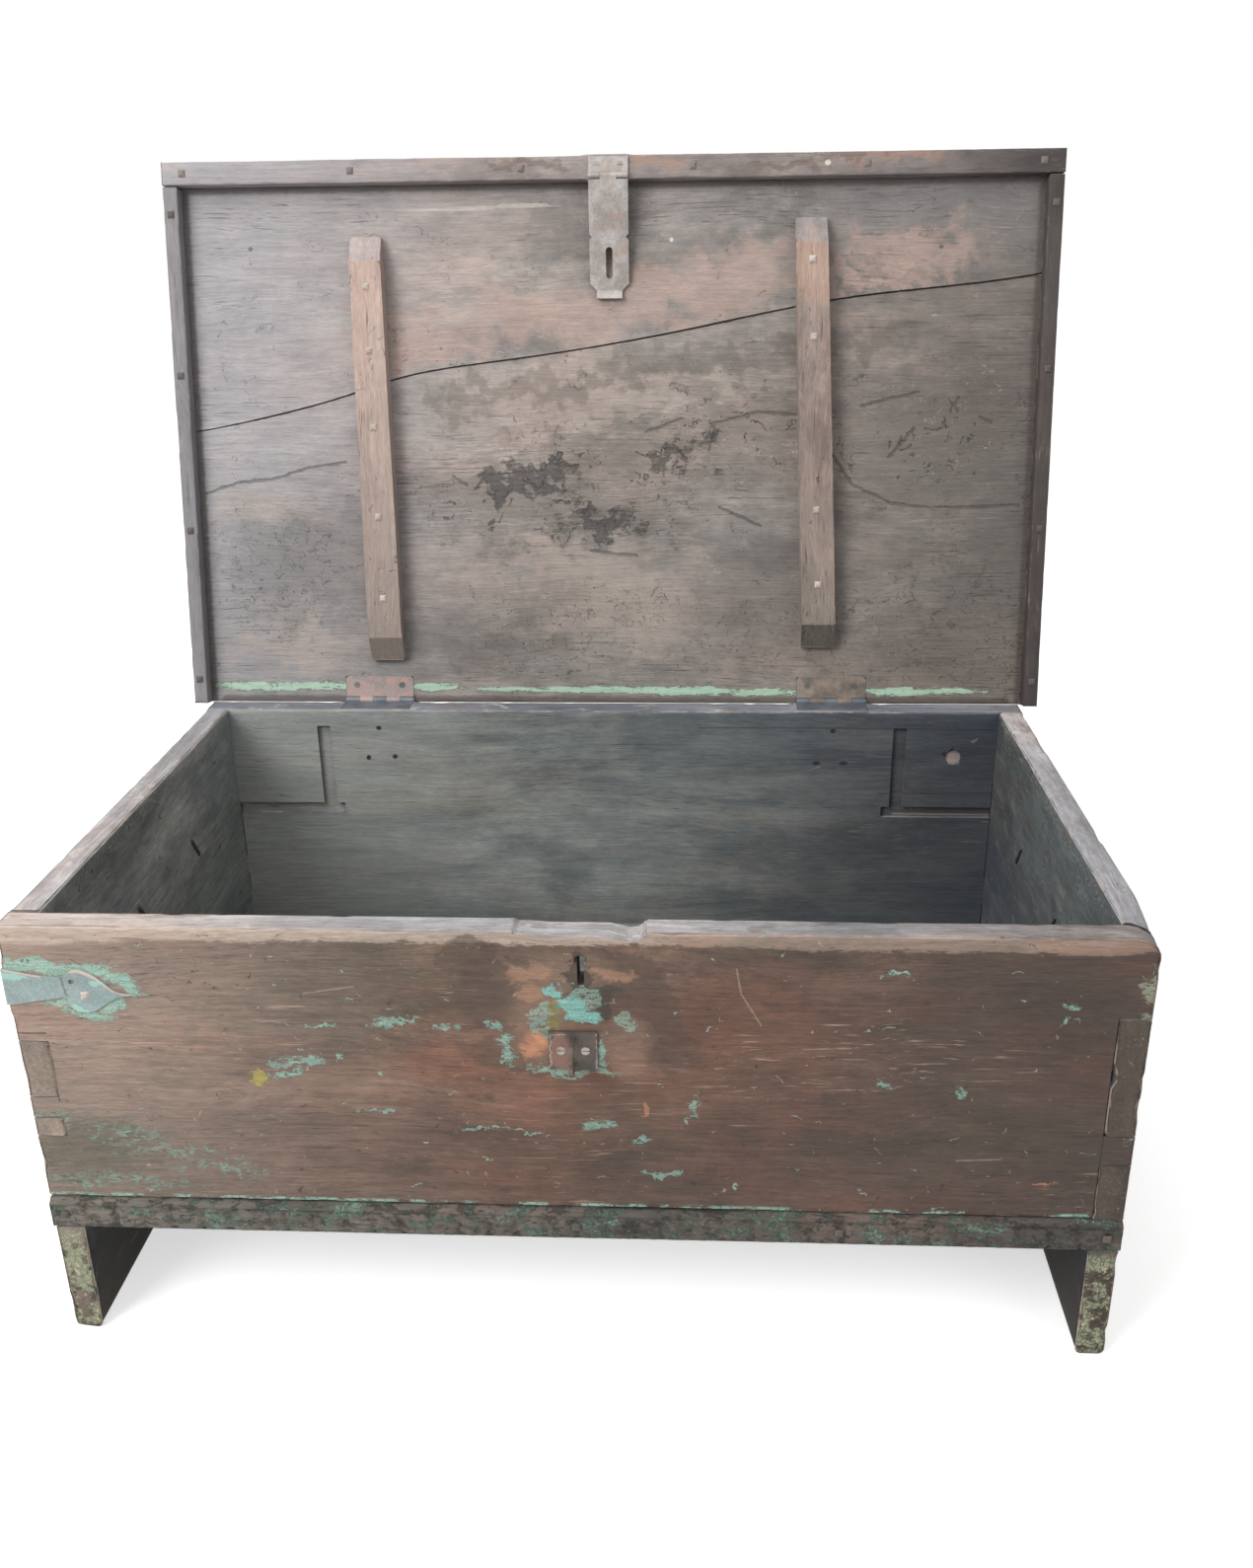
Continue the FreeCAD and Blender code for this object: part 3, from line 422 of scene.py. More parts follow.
def woodMaterial(name, finish):    # an old board: figure, fibres, stains, paint and rubbed arrises
    material, shader = newMaterial(name)
    place, facing = ownPlace("lid" in finish)
    along = turned(place, math.radians(finish.get("turn", 0.0)), "Z")
    grain = useGroup(grainGroup, {"Vector": along})
    fibre = grain["Fibre"]
    colour = baseWood(grain, along, finish)
    for axis, sign, other in finish.get("otherFaces", ()):
        mask = faces(facing, axis, sign, *other.get("slope", ()))
        colour = mixed(mask, colour, baseWood(grain, along, other))
    here = {"place": place, "facing": facing, "fibre": fibre, "wobble": finish.get("wobble", (0.04, 0.008)),
            "face": finish.get("zonesOn"), "laid": {}}
    for axis, start, end, shade, share, *only in finish.get("drifts", ()):
        mask = remap(reading(place, axis), start, end, 0.0, share)
        for face, sign in only:
            mask = times(mask, facesOnce(here, face, sign))
        colour = mixed(mask, colour, shade)
    pale = times(grain["Pale"], finish.get("pale", 0.35))
    colour = mixed(pale, colour, finish.get("paleThread", bareTan))
    colour = mixed(times(grain["Dark"], finish.get("dark", 0.5)), colour, inkStainAndShade)
    height = times(grain["Height"], finish.get("relief", 1.0))
    for zone in finish.get("zones", ()):
        mask = zoneMask(here, zone)
        colour = mixed(mask, colour, zone["colour"])
        if "raise" in zone:
            height = plus(height, times(mask, zone["raise"]))
    streak = finish.get("streak", 0.3)
    colour = shaded(colour, remap(fibre, 0.3, 0.7, 1.0 - streak, 1.0 + streak))
    for crumb in finish.get("crumbs", ()):
        mask = useGroup(flakeGroup, {"Vector": along, **picked(crumb, "amount", "scale")})["Mask"]
        if "between" in crumb:
            axis, *limits = crumb["between"]
            mask = times(mask, band(reading(place, axis), *limits))
        if "face" in crumb:
            mask = times(mask, faces(facing, *crumb["face"]))
        mask = times(mask, crumb.get("strength", 1.0))
        colour = mixed(mask, colour, crumb["colour"])
        height = plus(height, times(mask, crumb.get("raise", 0.6)))
    worn = useGroup(wearGroup, {"Vector": along, "Amount": finish.get("wear", 0.3), "Scale": 55.0})["Mask"]
    worn = times(worn, finish.get("wornShare", 0.6))
    feed(shader.inputs["Base Color"], mixed(worn, colour, finish.get("worn", bareTan)))
    rough = finish.get("rough", 0.62)
    feed(shader.inputs["Roughness"], remap(fibre, 0.25, 0.75, rough, rough + 0.2))
    shader.inputs["Specular IOR Level"].default_value = finish.get("gloss", 0.3)
    bump = put("ShaderNodeBump", {"Strength": finish.get("bump", 0.6), "Distance": 0.001, "Height": height})
    feed(shader.inputs["Normal"], bump.outputs[0])
    return material


# boards: the CAD solid cut fine, then rubbed and rippled, always inwards
cutting = {"weld": 0.000002, "flatAngle": 0.4, "tolerance": 0.00002, "calmReach": 0.004, "calmDepth": 0.0001,
           "swellScale": 9.0, "chipScale": 55.0, "chipFrom": 0.18, "sharp": 38.0}


def finePlaces(low, high, spacing, rim):    # cut places along one axis, closer near both ends
    places = [low + gap for gap in rim] + [high - gap for gap in rim]
    inner = high - low - 2 * rim[-1]
    if inner > spacing:
        count = max(1, round(inner / spacing))
        places += [low + rim[-1] + index * inner / count for index in range(1, count)]
    return [place for place in places if low < place < high]


def cutFine(bm, low, high, wear):
    for axis in range(3):
        direction = Vector([1.0 if index == axis else 0.0 for index in range(3)])
        for place in finePlaces(low[axis], high[axis], wear["spacing"][axis], wear["rim"]):
            every = bm.verts[:] + bm.edges[:] + bm.faces[:]
            bmesh.ops.bisect_plane(bm, geom=every, dist=cutting["tolerance"], plane_co=direction * place,
                                   plane_no=direction)


def rubDepth(place, normal, rub, wear, shape):    # how far the surface sinks at a place
    stretch = wear.get("stretch", (6.0, 50.0, 50.0))
    ripple = 0.5 + 0.5 * noise.noise(Vector([place[axis] * stretch[axis] for axis in range(3)]))
    swell = 0.5 + 0.5 * noise.noise(place * cutting["swellScale"])
    chip = max(0.0, noise.noise(place * cutting["chipScale"]) - cutting["chipFrom"])
    depth = wear["ripple"] * ripple + wear["swell"] * swell
    depth += rub * rub * (wear["round"] + wear["chips"] * chip)
    return depth + shape(place, normal) if shape else depth


def agedBoard(name, node, body, material, wear, lid=False, shape=None, warp=None):
    bm = bmesh.new()
    bm.from_mesh(nodes[node].data)
    if lid:
        bm.transform(shutLid)
    bmesh.ops.remove_doubles(bm, verts=bm.verts, dist=cutting["weld"])
    flat = math.radians(cutting["flatAngle"])
    bmesh.ops.dissolve_limit(bm, angle_limit=flat, verts=bm.verts, edges=bm.edges)
    low = Vector([min(vert.co[axis] for vert in bm.verts) for axis in range(3)])
    high = Vector([max(vert.co[axis] for vert in bm.verts) for axis in range(3)])
    cutFine(bm, low, high, wear)
    bm.normal_update()
    nearEdge = bm.verts.layers.float.new("edge")
    calm = [boxOf(other) for other in wear.get("calm", ())]
    margin = cutting["calmReach"]
    moves = []
    for vert in bm.verts:
        place = vert.co.copy()
        gaps = sorted(min(place[axis] - low[axis], high[axis] - place[axis]) for axis in range(3))
        rub = max(0.0, 1.0 - gaps[1] / wear["reach"])
        depth = rubDepth(place, vert.normal, rub, wear, shape)
        world = openLid @ place if lid else place
        for calmLow, calmHigh in calm:    # nothing sinks from under the irons
            if all(calmLow[axis] - margin < world[axis] < calmHigh[axis] + margin for axis in range(3)):
                depth = min(depth, cutting["calmDepth"])
        vert[nearEdge] = rub
        target = place - vert.normal * depth
        target = warp(target) if warp else target
        moves.append((vert, [min(max(target[axis], low[axis]), high[axis]) for axis in range(3)]))
    for vert, place in moves:
        vert.co = place
    if lid:
        bm.transform(openLid)
    mesh = bpy.data.meshes.new(name)
    bm.to_mesh(mesh)
    bm.free()
    mesh.shade_smooth()
    mesh.set_sharp_from_angle(angle=math.radians(wear.get("sharp", cutting["sharp"])))
    mesh.materials.append(material)
    piece = bpy.data.objects.new(name, mesh)
    bpy.context.collection.objects.link(piece)
    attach(piece, body)
    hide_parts(node)
    print(name, len(mesh.polygons), "faces")


def smooth(value, low, high):
    share = min(1.0, max(0.0, (value - low) / (high - low)))
    return share * share * (3.0 - 2.0 * share)


cornerRub = {"start": 0.430, "width": 0.020, "drop": 0.012, "front": (0.24, 0.31), "bottom": 0.375}


def wornCorner(place):    # the right front corner is rubbed round at its top
    corner = max(0.0, (place.x - cornerRub["start"]) / cornerRub["width"])
    drop = cornerRub["drop"] * corner ** 2 * smooth(-place.y, *cornerRub["front"])
    drop *= smooth(place.z, cornerRub["bottom"], caseTop)
    return Vector((place.x, place.y, place.z - drop))


# finishes: colours run from 0 to 255; the spots, paths and widths of zones are in millimetres
fineRim = (0.0006, 0.0015, 0.0028, 0.0045, 0.007)
boardWear = {
    "spacing": (0.008, 0.008, 0.008), "rim": fineRim, "reach": 0.006, "ripple": 0.0006, "swell": 0.0006,
    "round": 0.0012, "chips": 0.008}
hingeNodes = ("left_hinge_case_leaf", "right_hinge_case_leaf", "left_hinge_lid_leaf", "right_hinge_lid_leaf")
sootyInside = {
    "colours": ((88, 92, 92), (120, 123, 120), (138, 139, 134)), "warm": ((126, 120, 110), 0.5),
    "dull": ((92, 100, 104), 0.6), "blotch": 0.7,
    "patches": ((7, 0.52, 0.62, (78, 86, 88), 0.5), (18, 0.55, 0.65, (136, 132, 122), 0.35))}
greyTop = {
    "colours": ((138, 134, 134), (170, 167, 168), (190, 188, 188)), "warm": ((172, 156, 146), 0.5),
    "dull": ((130, 130, 134), 0.6), "blotch": 0.8,
    "patches": ((24, 0.56, 0.64, (112, 104, 98), 0.6), (40, 0.58, 0.66, (200, 192, 182), 0.5))}

# front board: everything painted and rubbed on its outer face, as x and z
frontOut = (inY, -1)
fleckMarks = {"reach": 0.2, "slim": 0.035, "spread": 0.7}
frontFinish = {
    "colours": ((82, 66, 57), (105, 83, 72), (126, 103, 90)), "warm": ((124, 84, 67), 0.6),
    "dull": ((80, 73, 62), 0.7),
    "patches": ((3.4, 0.46, 0.6, (74, 66, 56), 0.5), (9, 0.5, 0.64, (70, 58, 51), 0.5),
        (5, 0.52, 0.64, (122, 84, 68), 0.45), (15, 0.52, 0.66, (128, 101, 86), 0.4),
        (30, 0.55, 0.67, (64, 56, 50), 0.5)), "otherFaces": ((inY, 1, sootyInside), (inZ, 1, greyTop)),
    # drifts: paler towards the left and darker towards the right, painted light and painted shade across the
    # board; and darker towards the bottom
    "drifts": ((inX, -0.08, -0.46, (166, 149, 137), 0.5), (inX, -0.05, 0.4, (56, 48, 46), 0.58),
        (inZ, 0.34, 0.15, (66, 55, 50), 0.28)), "streak": 0.36, "pale": 0.5, "dark": 0.55, "wear": 0.3,
    "worn": (162, 142, 126), "wobble": (0.032, 0.009), "zonesOn": frontOut,
    "zones": (
        # paler strip where the lid's rim used to rub
        {"calm": 1, "colour": (180, 164, 150), "strength": 0.62, "ragged": 0.1, "grit": 60, "erode": 0.25,
         "spots": ((-300, 399.5, 340, 8.5), (-420, 397, 100, 11), (0, 399, 130, 8))},
        {"calm": 1, "colour": (144, 126, 114), "strength": 0.66, "ragged": 0.1, "grit": 60, "erode": 0.25,
         "spots": ((240, 399, 200, 10),)},
        {"calm": 1, "colour": (146, 121, 106), "strength": 0.65, "ragged": 0.08, "grit": 60, "erode": 0.15,
         "spots": ((402, 397, 50, 9), (100, 396, 18, 6))},
        # round ghost of the lost lock plate and its stains
        {"colour": (74, 62, 54), "strength": 0.6, "ragged": 0.1, "grit": 40, "spots": ((-78, 380, 24, 16),
         (-62, 345, 26, 32), (56, 330, 30, 44), (-20, 292, 60, 20), (80, 296, 26, 20), (30, 366, 30, 20))},
        {"colour": (130, 106, 92), "strength": 0.5, "ragged": 0.16, "grit": 50, "soft": 0.6, "erode": 0.2,
         "spots": ((-4, 367, 40, 14), (-24, 318, 26, 36), (42, 300, 20, 24), (46, 282, 10, 12))},
        {"colour": (146, 112, 92), "strength": 0.65, "ragged": 0.22, "grit": 90, "erode": 0.25,
         "soft": 0.25, "spots": ((-28, 367, 18, 6), (36, 366, 18, 6), (-30, 352, 10, 6))},
        {"colour": freshWood, "strength": 0.8, "ragged": 0.25, "grit": 110, "erode": 0.6, "soft": 0.7,
         "spots": ((-26, 307, 7, 10), (-30, 297, 6, 7))},
        {"colour": (56, 52, 46), "strength": 0.75, "ragged": 0.2, "grit": 90, "spots": ((8.5, 368, 8, 18),
         (20, 351, 22, 5), (-18, 323.5, 10, 5), (29, 338, 6, 14))},
        {"calm": 1, "colour": inkStainAndShade, "ragged": 0.1, "spots": ((-19.5, 312.5, 3.6, 2.8),)},
        # what is left of the green paint
        {"colour": greyMint, "flakes": 0.62, "crumb": 300, "raise": 0.6, "ragged": 0.2, "strength": 0.85,
         "spots": ((12, 344, 16, 13), (-22, 330, 10, 14), (6, 277, 26, 5), (44, 322, 8, 10))},
        {"colour": olive, "ragged": 0.24, "grit": 120, "erode": 0.3, "spots": ((-11.5, 337, 8, 9),
         (-14, 322, 6, 7))},
        {"colour": turquoise, "raise": 1, "ragged": 0.2, "grit": 120, "erode": 0.25, "flakes": 0.95,
         "crumb": 230, "spots": ((-14.5, 352, 9, 5), (1, 335, 12, 6.5), (9, 327, 14, 7),
         (-6, 343, 6, 5.5))},
        {"colour": mint, "raise": 1, "ragged": 0.34, "grit": 190, "erode": 0.5, "strength": 0.85,
         "flakes": 0.62, "crumb": 360, "spots": ((-62, 320, 4, 6), (-53, 305, 6, 9), (-47, 288, 6, 10),
         (-12, 279.5, 18, 2.6), (24.5, 292, 3.5, 14), (23.5, 225, 8, 5.5), (98, 246, 4.5, 8.5),
         (52, 212, 9, 2.6), (73, 181, 15, 1.8), (-222, 280, 20, 3.6), (-232, 268.8, 11, 3.4),
         (-184, 283.5, 4.5, 3), (-133, 322, 15, 2.6), (-146, 318, 13, 2.4), (-205, 314.5, 17, 1.6),
         (-100, 313, 8, 1.6), (309, 265, 6, 4.4), (247, 270, 8, 2.3), (253, 366, 10, 1.6),
         (386, 342, 4.4, 4), (384, 330, 4, 1.8), (-160, 235, 12, 1.6), (-75, 221, 18, 1.4),
         (-40, 219, 10, 1.4))},
        {"colour": yellowPaint, "raise": 0.8, "ragged": 0.34, "grit": 150, "erode": 0.4,
         "spots": ((-252.5, 264.5, 9, 6),)},
        {"colour": freshWood, "strength": 0.45, "ragged": 0.3, "grit": 150, "spots": ((60.3, 243.6, 2.6, 5),
         (380, 175.5, 11, 1.8), (272, 288, 3, 1.6))},
        # lower left, where a second strap sat
        {"colour": (84, 82, 70), "strength": 0.7, "ragged": 0.12, "grit": 50, "soft": 0.5, "erode": 0.15,
         "spots": ((-408, 190, 56, 32),)},
        {"colour": (128, 152, 138), "ragged": 0.45, "grit": 150, "erode": 0.5, "raise": 0.8,
         "strength": 0.85, "flakes": 0.5, "crumb": 330, "spots": ((-372, 209, 32, 10), (-335, 192, 36, 7),
         (-432, 222, 26, 10), (-395, 160, 62, 6), (-300, 176, 40, 6))},
        # round the strap
        {"colour": mint, "raise": 1.1, "ragged": 0.15, "grit": 150, "erode": 0.3, "strength": 0.9,
         "flakes": 0.85, "crumb": 200, "spots": ((-425, 364.5, 30, 6.4), (-385, 363, 30, 7),
         (-356, 355, 16, 9.5), (-346, 347, 10, 6), (-408, 332, 14, 4), (-388, 325.5, 22, 4.2),
         (-368, 333, 12, 4.5))},
        {"colour": (150, 156, 136), "ragged": 0.45, "grit": 170, "erode": 0.4, "raise": 0.8,
         "strength": 0.8, "flakes": 0.7, "crumb": 240, "spots": ((445, 362, 7, 10), (448, 236, 6, 12),
         (446, 330, 5, 10))},
        # scattered flecks of paint, splinters and pits
        {"colour": greyMint, "raise": 0.5, "strength": 0.75, "strokes": {**fleckMarks, "scale": 46,
         "share": 0.17}},
        {"colour": (176, 158, 140), "strength": 0.55, "strokes": {**fleckMarks, "scale": 90,
         "share": 0.16}},
        {"colour": (50, 42, 38), "raise": -0.8, "strength": 0.7, "strokes": {"scale": 70, "reach": 0.34,
         "slim": 0.03, "spread": 0.5, "share": 0.22}},
        # scratches and shrinkage cracks
        {"calm": 1, "colour": inkStainAndShade, "strength": 0.8, "ragged": 0.1, "grit": 120, "width": 0.7,
         "soft": 0.4, "paths": (((400, 224), (426, 225), (450, 223.5)), ((424, 196), (450, 197.5)),
         ((425, 180), (450, 179)), ((424, 146), (424.5, 335)), ((-450, 304), (-425, 304.5)),
         ((-425, 290), (-424.5, 240)))},
        {"calm": 1, "colour": (156, 142, 128), "strength": 0.4, "ragged": 0.25, "grit": 250, "erode": 0.3,
         "width": 0.7, "soft": 0.6, "paths": (((130, 372), (134, 350), (150, 322)),
         ((-210, 345), (-170, 352)), ((310, 198), (345, 200)))}),
    "crumbs": (
        {"colour": mint, "amount": 0.5, "scale": 60, "between": (inZ, 0.1415, 0.1475, 0.0014),
         "face": frontOut, "strength": 0.85},
        # a near-black line along the board's lowest edge: painted shadow of the gap between board and rail
        {"colour": inkStainAndShade, "amount": 0.9, "scale": 30, "between": (inZ, 0.14, 0.1424, 0.0005),
         "face": frontOut, "strength": 0.8, "raise": -0.5},
        {"colour": greyMint, "amount": 0.1, "scale": 260, "between": (inZ, 0.15, 0.38, 0.02),
         "face": frontOut, "strength": 0.8},
        {"colour": paleDust, "amount": 0.08, "scale": 190, "between": (inZ, 0.16, 0.39, 0.02),
         "face": frontOut, "strength": 0.6})}
frontWear = {**boardWear, "spacing": (0.007, 0.008, 0.007), "calm": ("staple", "corner_strap")}
frontWood = woodMaterial("frontWood", frontFinish)
agedBoard("frontBoard", "front_board", "chest", frontWood, frontWear, warp=wornCorner)

# back board: sooty inside, with painted light towards the left of its inner face and painted shade towards
# the right and the bottom, the empty till grooves and old nail holes
backIn = (inY, -1)
backFinish = {
    "colours": ((78, 66, 58), (100, 86, 76), (120, 104, 92)), "warm": ((112, 88, 74), 0.4),
    "dull": ((84, 78, 70), 0.5),
    "otherFaces": ((inY, -1, sootyInside), (inZ, 1, {**greyTop,
        "colours": ((82, 84, 92), (108, 110, 120), (128, 128, 136)), "warm": ((118, 112, 112), 0.4)})),
    # on the inner face: darker towards the right and the bottom, painted shade; paler towards the left,
    # painted light
    "drifts": ((inX, -0.05, 0.42, (42, 47, 58), 0.8, backIn), (inZ, 0.24, 0.12, (66, 72, 76), 0.5, backIn),
        (inX, -0.08, -0.38, (150, 152, 148), 0.62, backIn)), "worn": (150, 140, 130), "streak": 0.22,
    "pale": 0.25, "zonesOn": backIn,
    "zones": (
        {"calm": 1, "colour": inkStainAndShade, "ragged": 0.1, "grit": 200, "soft": 0.2,
         "spots": ((-257, 381, 3, 2.6), (-271, 346, 2.8, 2.8), (-241, 347, 2.8, 2.8), (246, 380, 3, 2.6),
         (229, 342, 4.5, 2.2), (259, 342, 4.5, 2.2))},
        {"colour": (124, 112, 102), "ragged": 0.3, "strength": 0.7, "spots": ((-271, 340, 4, 1.6),
         (-241, 341, 4, 1.6), (229, 338, 6, 1.4), (403, 366, 4, 2))},
        {"calm": 1, "colour": (150, 134, 120), "strength": 0.6, "ragged": 0.1, "width": 1.1, "soft": 0.5,
         "paths": (((-424, 279.5), (-317, 280)), ((317, 280), (424, 279.5)))},
        {"calm": 1, "colour": inkStainAndShade, "strength": 0.6, "ragged": 0.1, "width": 0.7, "soft": 0.5,
         "paths": (((300, 306), (424, 307.5)), ((100, 383), (220, 383.5), (420, 382)))})}
agedBoard("backBoard", "back_board", "chest", woodMaterial("backWood", backFinish),
          {**boardWear, "calm": hingeNodes + ("knot_plug",)})

# end boards run down as feet: grey-green paint flakes off their front edges
footRub = {"height": 0.010, "depth": 0.003}


def footEnds(place, normal):    # feet rubbed thinner right above the floor
    low = max(0.0, 1.0 - place.z / footRub["height"])
    return footRub["depth"] * low * low * abs(normal.x)


def endFinish(inward):
    # the left end gets lighter colours and the right end darker ones, for the bluish tone, the inner face
    # and the front edge: painted light on the left end, painted shade on the right end
    bluish = (92, 98, 94) if inward > 0 else (62, 66, 76)
    frontLitOrShadedTone = (132, 119, 108) if inward > 0 else (80, 71, 65)
    inner = (120, 148, 162) if inward > 0 else (62, 80, 96)
    return {
        "turn": 90, "colours": ((80, 68, 60), (104, 88, 78), (124, 108, 96)), "warm": ((118, 92, 78), 0.5),
        "dull": ((86, 80, 74), 0.6), "streak": 0.32,
        "otherFaces": ((inX, inward, {**sootyInside, "warm": (bluish, 0.6),
            "colours": tuple((each, each, 0.97 * each) for each in inner)}), (inZ, 1, greyTop), (inY, -1,
            {"colours": (frontLitOrShadedTone, frontLitOrShadedTone, frontLitOrShadedTone), "blotch": 0.9})),
        # near-black low on the inner face: painted shade on the insides of the feet under the chest; then
        # all faces darker towards the floor
        "drifts": ((inZ, 0.125, 0.1, (24, 22, 22), 0.94, (inX, inward)), (inZ, 0.1, 0, (64, 58, 52), 0.6)),
        "worn": (176, 160, 146), "wear": 0.32, "gloss": 0.15, "zonesOn": (inX, inward),
        "zones": (
            {"colour": bluish, "strength": 0.5, "ragged": 0.1, "grit": 40, "soft": 0.4,
             "spots": ((-200, 200, 200, 100), (100, 180, 200, 120))},
            {"colour": (164, 158, 148), "strength": 0.6, "ragged": 0.4, "grit": 110, "erode": 0.5,
             "flakes": 0.42, "crumb": 320, "spots": ((-130, 392, 140, 7), (90, 396, 120, 4),
             (-180, 372, 20, 8))},
            {"colour": (132, 128, 120), "strength": 0.45, "strokes": {"scale": 34, "reach": 0.45,
             "slim": 0.03, "lean": -0.5, "spread": 0.8, "share": 0.4}},
            {"colour": inkStainAndShade, "strength": 0.7, "raise": -1, "strokes": {"scale": 40, "reach": 0.4,
             "slim": 0.03, "lean": 0.6, "spread": 1.4, "share": 0.2}}),
        "crumbs": (
            {"colour": (138, 142, 118), "amount": 0.54, "scale": 45, "between": (inZ, 0, 0.106, 0.006),
             "face": (inY, -1), "raise": 1.2},
            {"colour": (178, 176, 146), "amount": 0.34, "scale": 95, "between": (inZ, 0, 0.1, 0.01),
             "face": (inY, -1), "raise": 1.2},
            {"colour": (62, 54, 48), "amount": 0.42, "scale": 100, "between": (inZ, 0, 0.1, 0.01),
             "face": (inY, -1), "strength": 0.8, "raise": -0.8},
            {"colour": greyMint, "amount": 0.22, "scale": 120, "between": (inZ, 0.14, 0.38, 0.01),
             "face": (inY, -1), "strength": 0.7})}


endWear = {**boardWear, "stretch": (50, 6, 50)}
leftEndWood = woodMaterial("leftEndWood", endFinish(1))
rightEndWood = woodMaterial("rightEndWood", endFinish(-1))
agedBoard("leftEndBoard", "left_end_board", "chest", leftEndWood,
          {**endWear, "calm": ("corner_strap", "left_handle_eyes")}, shape=footEnds)
agedBoard("rightEndBoard", "right_end_board", "chest", rightEndWood,
          {**endWear, "chips": 0.016, "calm": ("right_handle_eyes",)}, shape=footEnds, warp=wornCorner)
floorWood = woodMaterial("floorWood", {**sootyInside, "wear": 0.2})
for part in ("front", "middle", "rear"):
    agedBoard(part + "FloorBoard", "floor_board_" + part, "chest", floorWood,
              {**boardWear, "spacing": (0.02, 0.02, 0.02), "rim": (0.001, 0.003), "chips": 0.002})
print("case boards done")

# base rail: a hand-cut row of hanging petals under a thin ledge
railCarving = {"pitch": 0.0245, "halfWidth": 0.0108, "ledge": 0.0050, "crown": 0.0130, "depth": 0.0036,
               "soft": 0.0034, "stray": 0.003, "uneven": 0.25, "pit": 0.0030, "pitScale": 230.0,
               "dent": 0.0016, "dentScale": 80.0}


def railCut(place, normal):    # how deep the gouge went at a place on the rail's face
    below = railTop - place.z
    if normal.y > -0.35 or below < railCarving["ledge"]:
        return 0.0
    index = math.floor(place.x / railCarving["pitch"])
    stray = noise.noise(Vector((index * 3.7, 1.3, 0.0)))
    centre = (index + 0.5) * railCarving["pitch"] + railCarving["stray"] * stray
    uneven = noise.noise(Vector((index * 1.9, 8.2, 0.0)))
    half = railCarving["halfWidth"] * (1.0 + railCarving["uneven"] * uneven)
    crown = railCarving["crown"]
    rise = max(0.0, railCarving["ledge"] + crown - below)
    half *= math.sqrt(max(0.0, 1.0 - (rise / crown) ** 2))
    groove = smooth(abs(place.x - centre) - half, -railCarving["soft"], 0.4 * railCarving["soft"])
    worn = 0.65 + 0.35 * noise.noise(Vector((place.x * 14.0, 4.0, 0.0)))
    pits = railCarving["pit"] * max(0.0, noise.noise(place * railCarving["pitScale"]) - 0.1)
    pits += railCarving["dent"] * max(0.0, noise.noise(place * railCarving["dentScale"]))
    return groove * railCarving["depth"] * worn + pits


railFinish = {
    "colours": ((58, 54, 50), (84, 78, 72), (112, 100, 92)), "warm": ((98, 80, 72), 0.5),
    "dull": ((66, 68, 62), 0.6), "streak": 0.35, "dark": 0.7, "bump": 0.9, "wear": 0.3, "wornShare": 0.45,
    "worn": (132, 116, 106),
    # paler towards the left and darker towards the right: painted light and painted shade along the rail
    "drifts": ((inX, 0, -0.45, (128, 122, 112), 0.4), (inX, 0.1, 0.45, (54, 50, 48), 0.45)),
    "crumbs": (
        {"colour": (112, 138, 122), "amount": 0.42, "scale": 75, "strength": 0.8},
        {"colour": inkStainAndShade, "amount": 0.44, "scale": 150, "strength": 0.7, "raise": -0.8},
        {"colour": (140, 126, 116), "amount": 0.26, "scale": 210, "strength": 0.7})}
railWear = {"spacing": (0.0022, 0.006, 0.0016), "rim": (0.0006, 0.0015, 0.003), "reach": 0.004,
            "ripple": 0.0004, "swell": 0.0004, "round": 0.0008, "chips": 0.005, "sharp": 50.0}
agedBoard("baseRail", "base_rail", "chest", woodMaterial("railWood", railFinish), railWear,
          shape=railCut)

# lid: places on it are x and the distance from the hinge line
lidUnder = (inZ, -1)
lidTop = {"colours": ((84, 72, 64), (108, 94, 84), (130, 114, 102)), "warm": ((118, 92, 76), 0.5)}
hackMarks = {"reach": 0.46, "slim": 0.075, "spread": 1.4}
lidFinish = {
    "lid": True, "zonesOn": lidUnder, "colours": ((120, 113, 108), (138, 130, 124), (148, 139, 133)),
    "warm": ((158, 138, 128), 0.4), "dull": ((116, 114, 112), 0.6), "otherFaces": ((inZ, 1, lidTop),),
    "patches": ((6, 0.48, 0.64, (154, 134, 124), 0.5), (8, 0.47, 0.66, (104, 101, 101), 0.5),
        (14, 0.5, 0.66, (148, 139, 130), 0.4), (22, 0.52, 0.68, (98, 92, 88), 0.45),
        (38, 0.54, 0.68, (164, 149, 138), 0.35)),
    # drifts: paler and bluer towards the left and darker towards the right, painted light and painted shade
    # across the lid; then tone changing towards the hinge and towards the far edge
    "drifts": ((inX, -0.02, -0.46, (148, 149, 154), 0.62), (inX, 0.08, 0.44, (78, 73, 69), 0.62),
        (inY, 0.28, 0.02, (120, 113, 106), 0.25), (inY, 0.44, 0.54, (132, 130, 131), 0.35)), "streak": 0.22,
    "pale": 0.3, "dark": 0.5, "bump": 0.9, "relief": 1.2, "wear": 0.22, "blotch": 1,
    "paleThread": (186, 168, 152), "worn": (158, 146, 136), "wobble": (0.12, 0.016),
    "crumbs": (
        {"colour": (92, 84, 78), "amount": 0.11, "scale": 210, "face": lidUnder, "strength": 0.6,
         "raise": -0.6},
        {"colour": (184, 168, 152), "amount": 0.07, "scale": 160, "face": lidUnder, "strength": 0.5},
        {"colour": greyMint, "amount": 0.16, "scale": 60, "face": (inZ, 1), "strength": 0.8},
        {"colour": paleDust, "amount": 0.14, "scale": 150, "face": (inZ, 1), "strength": 0.5})}
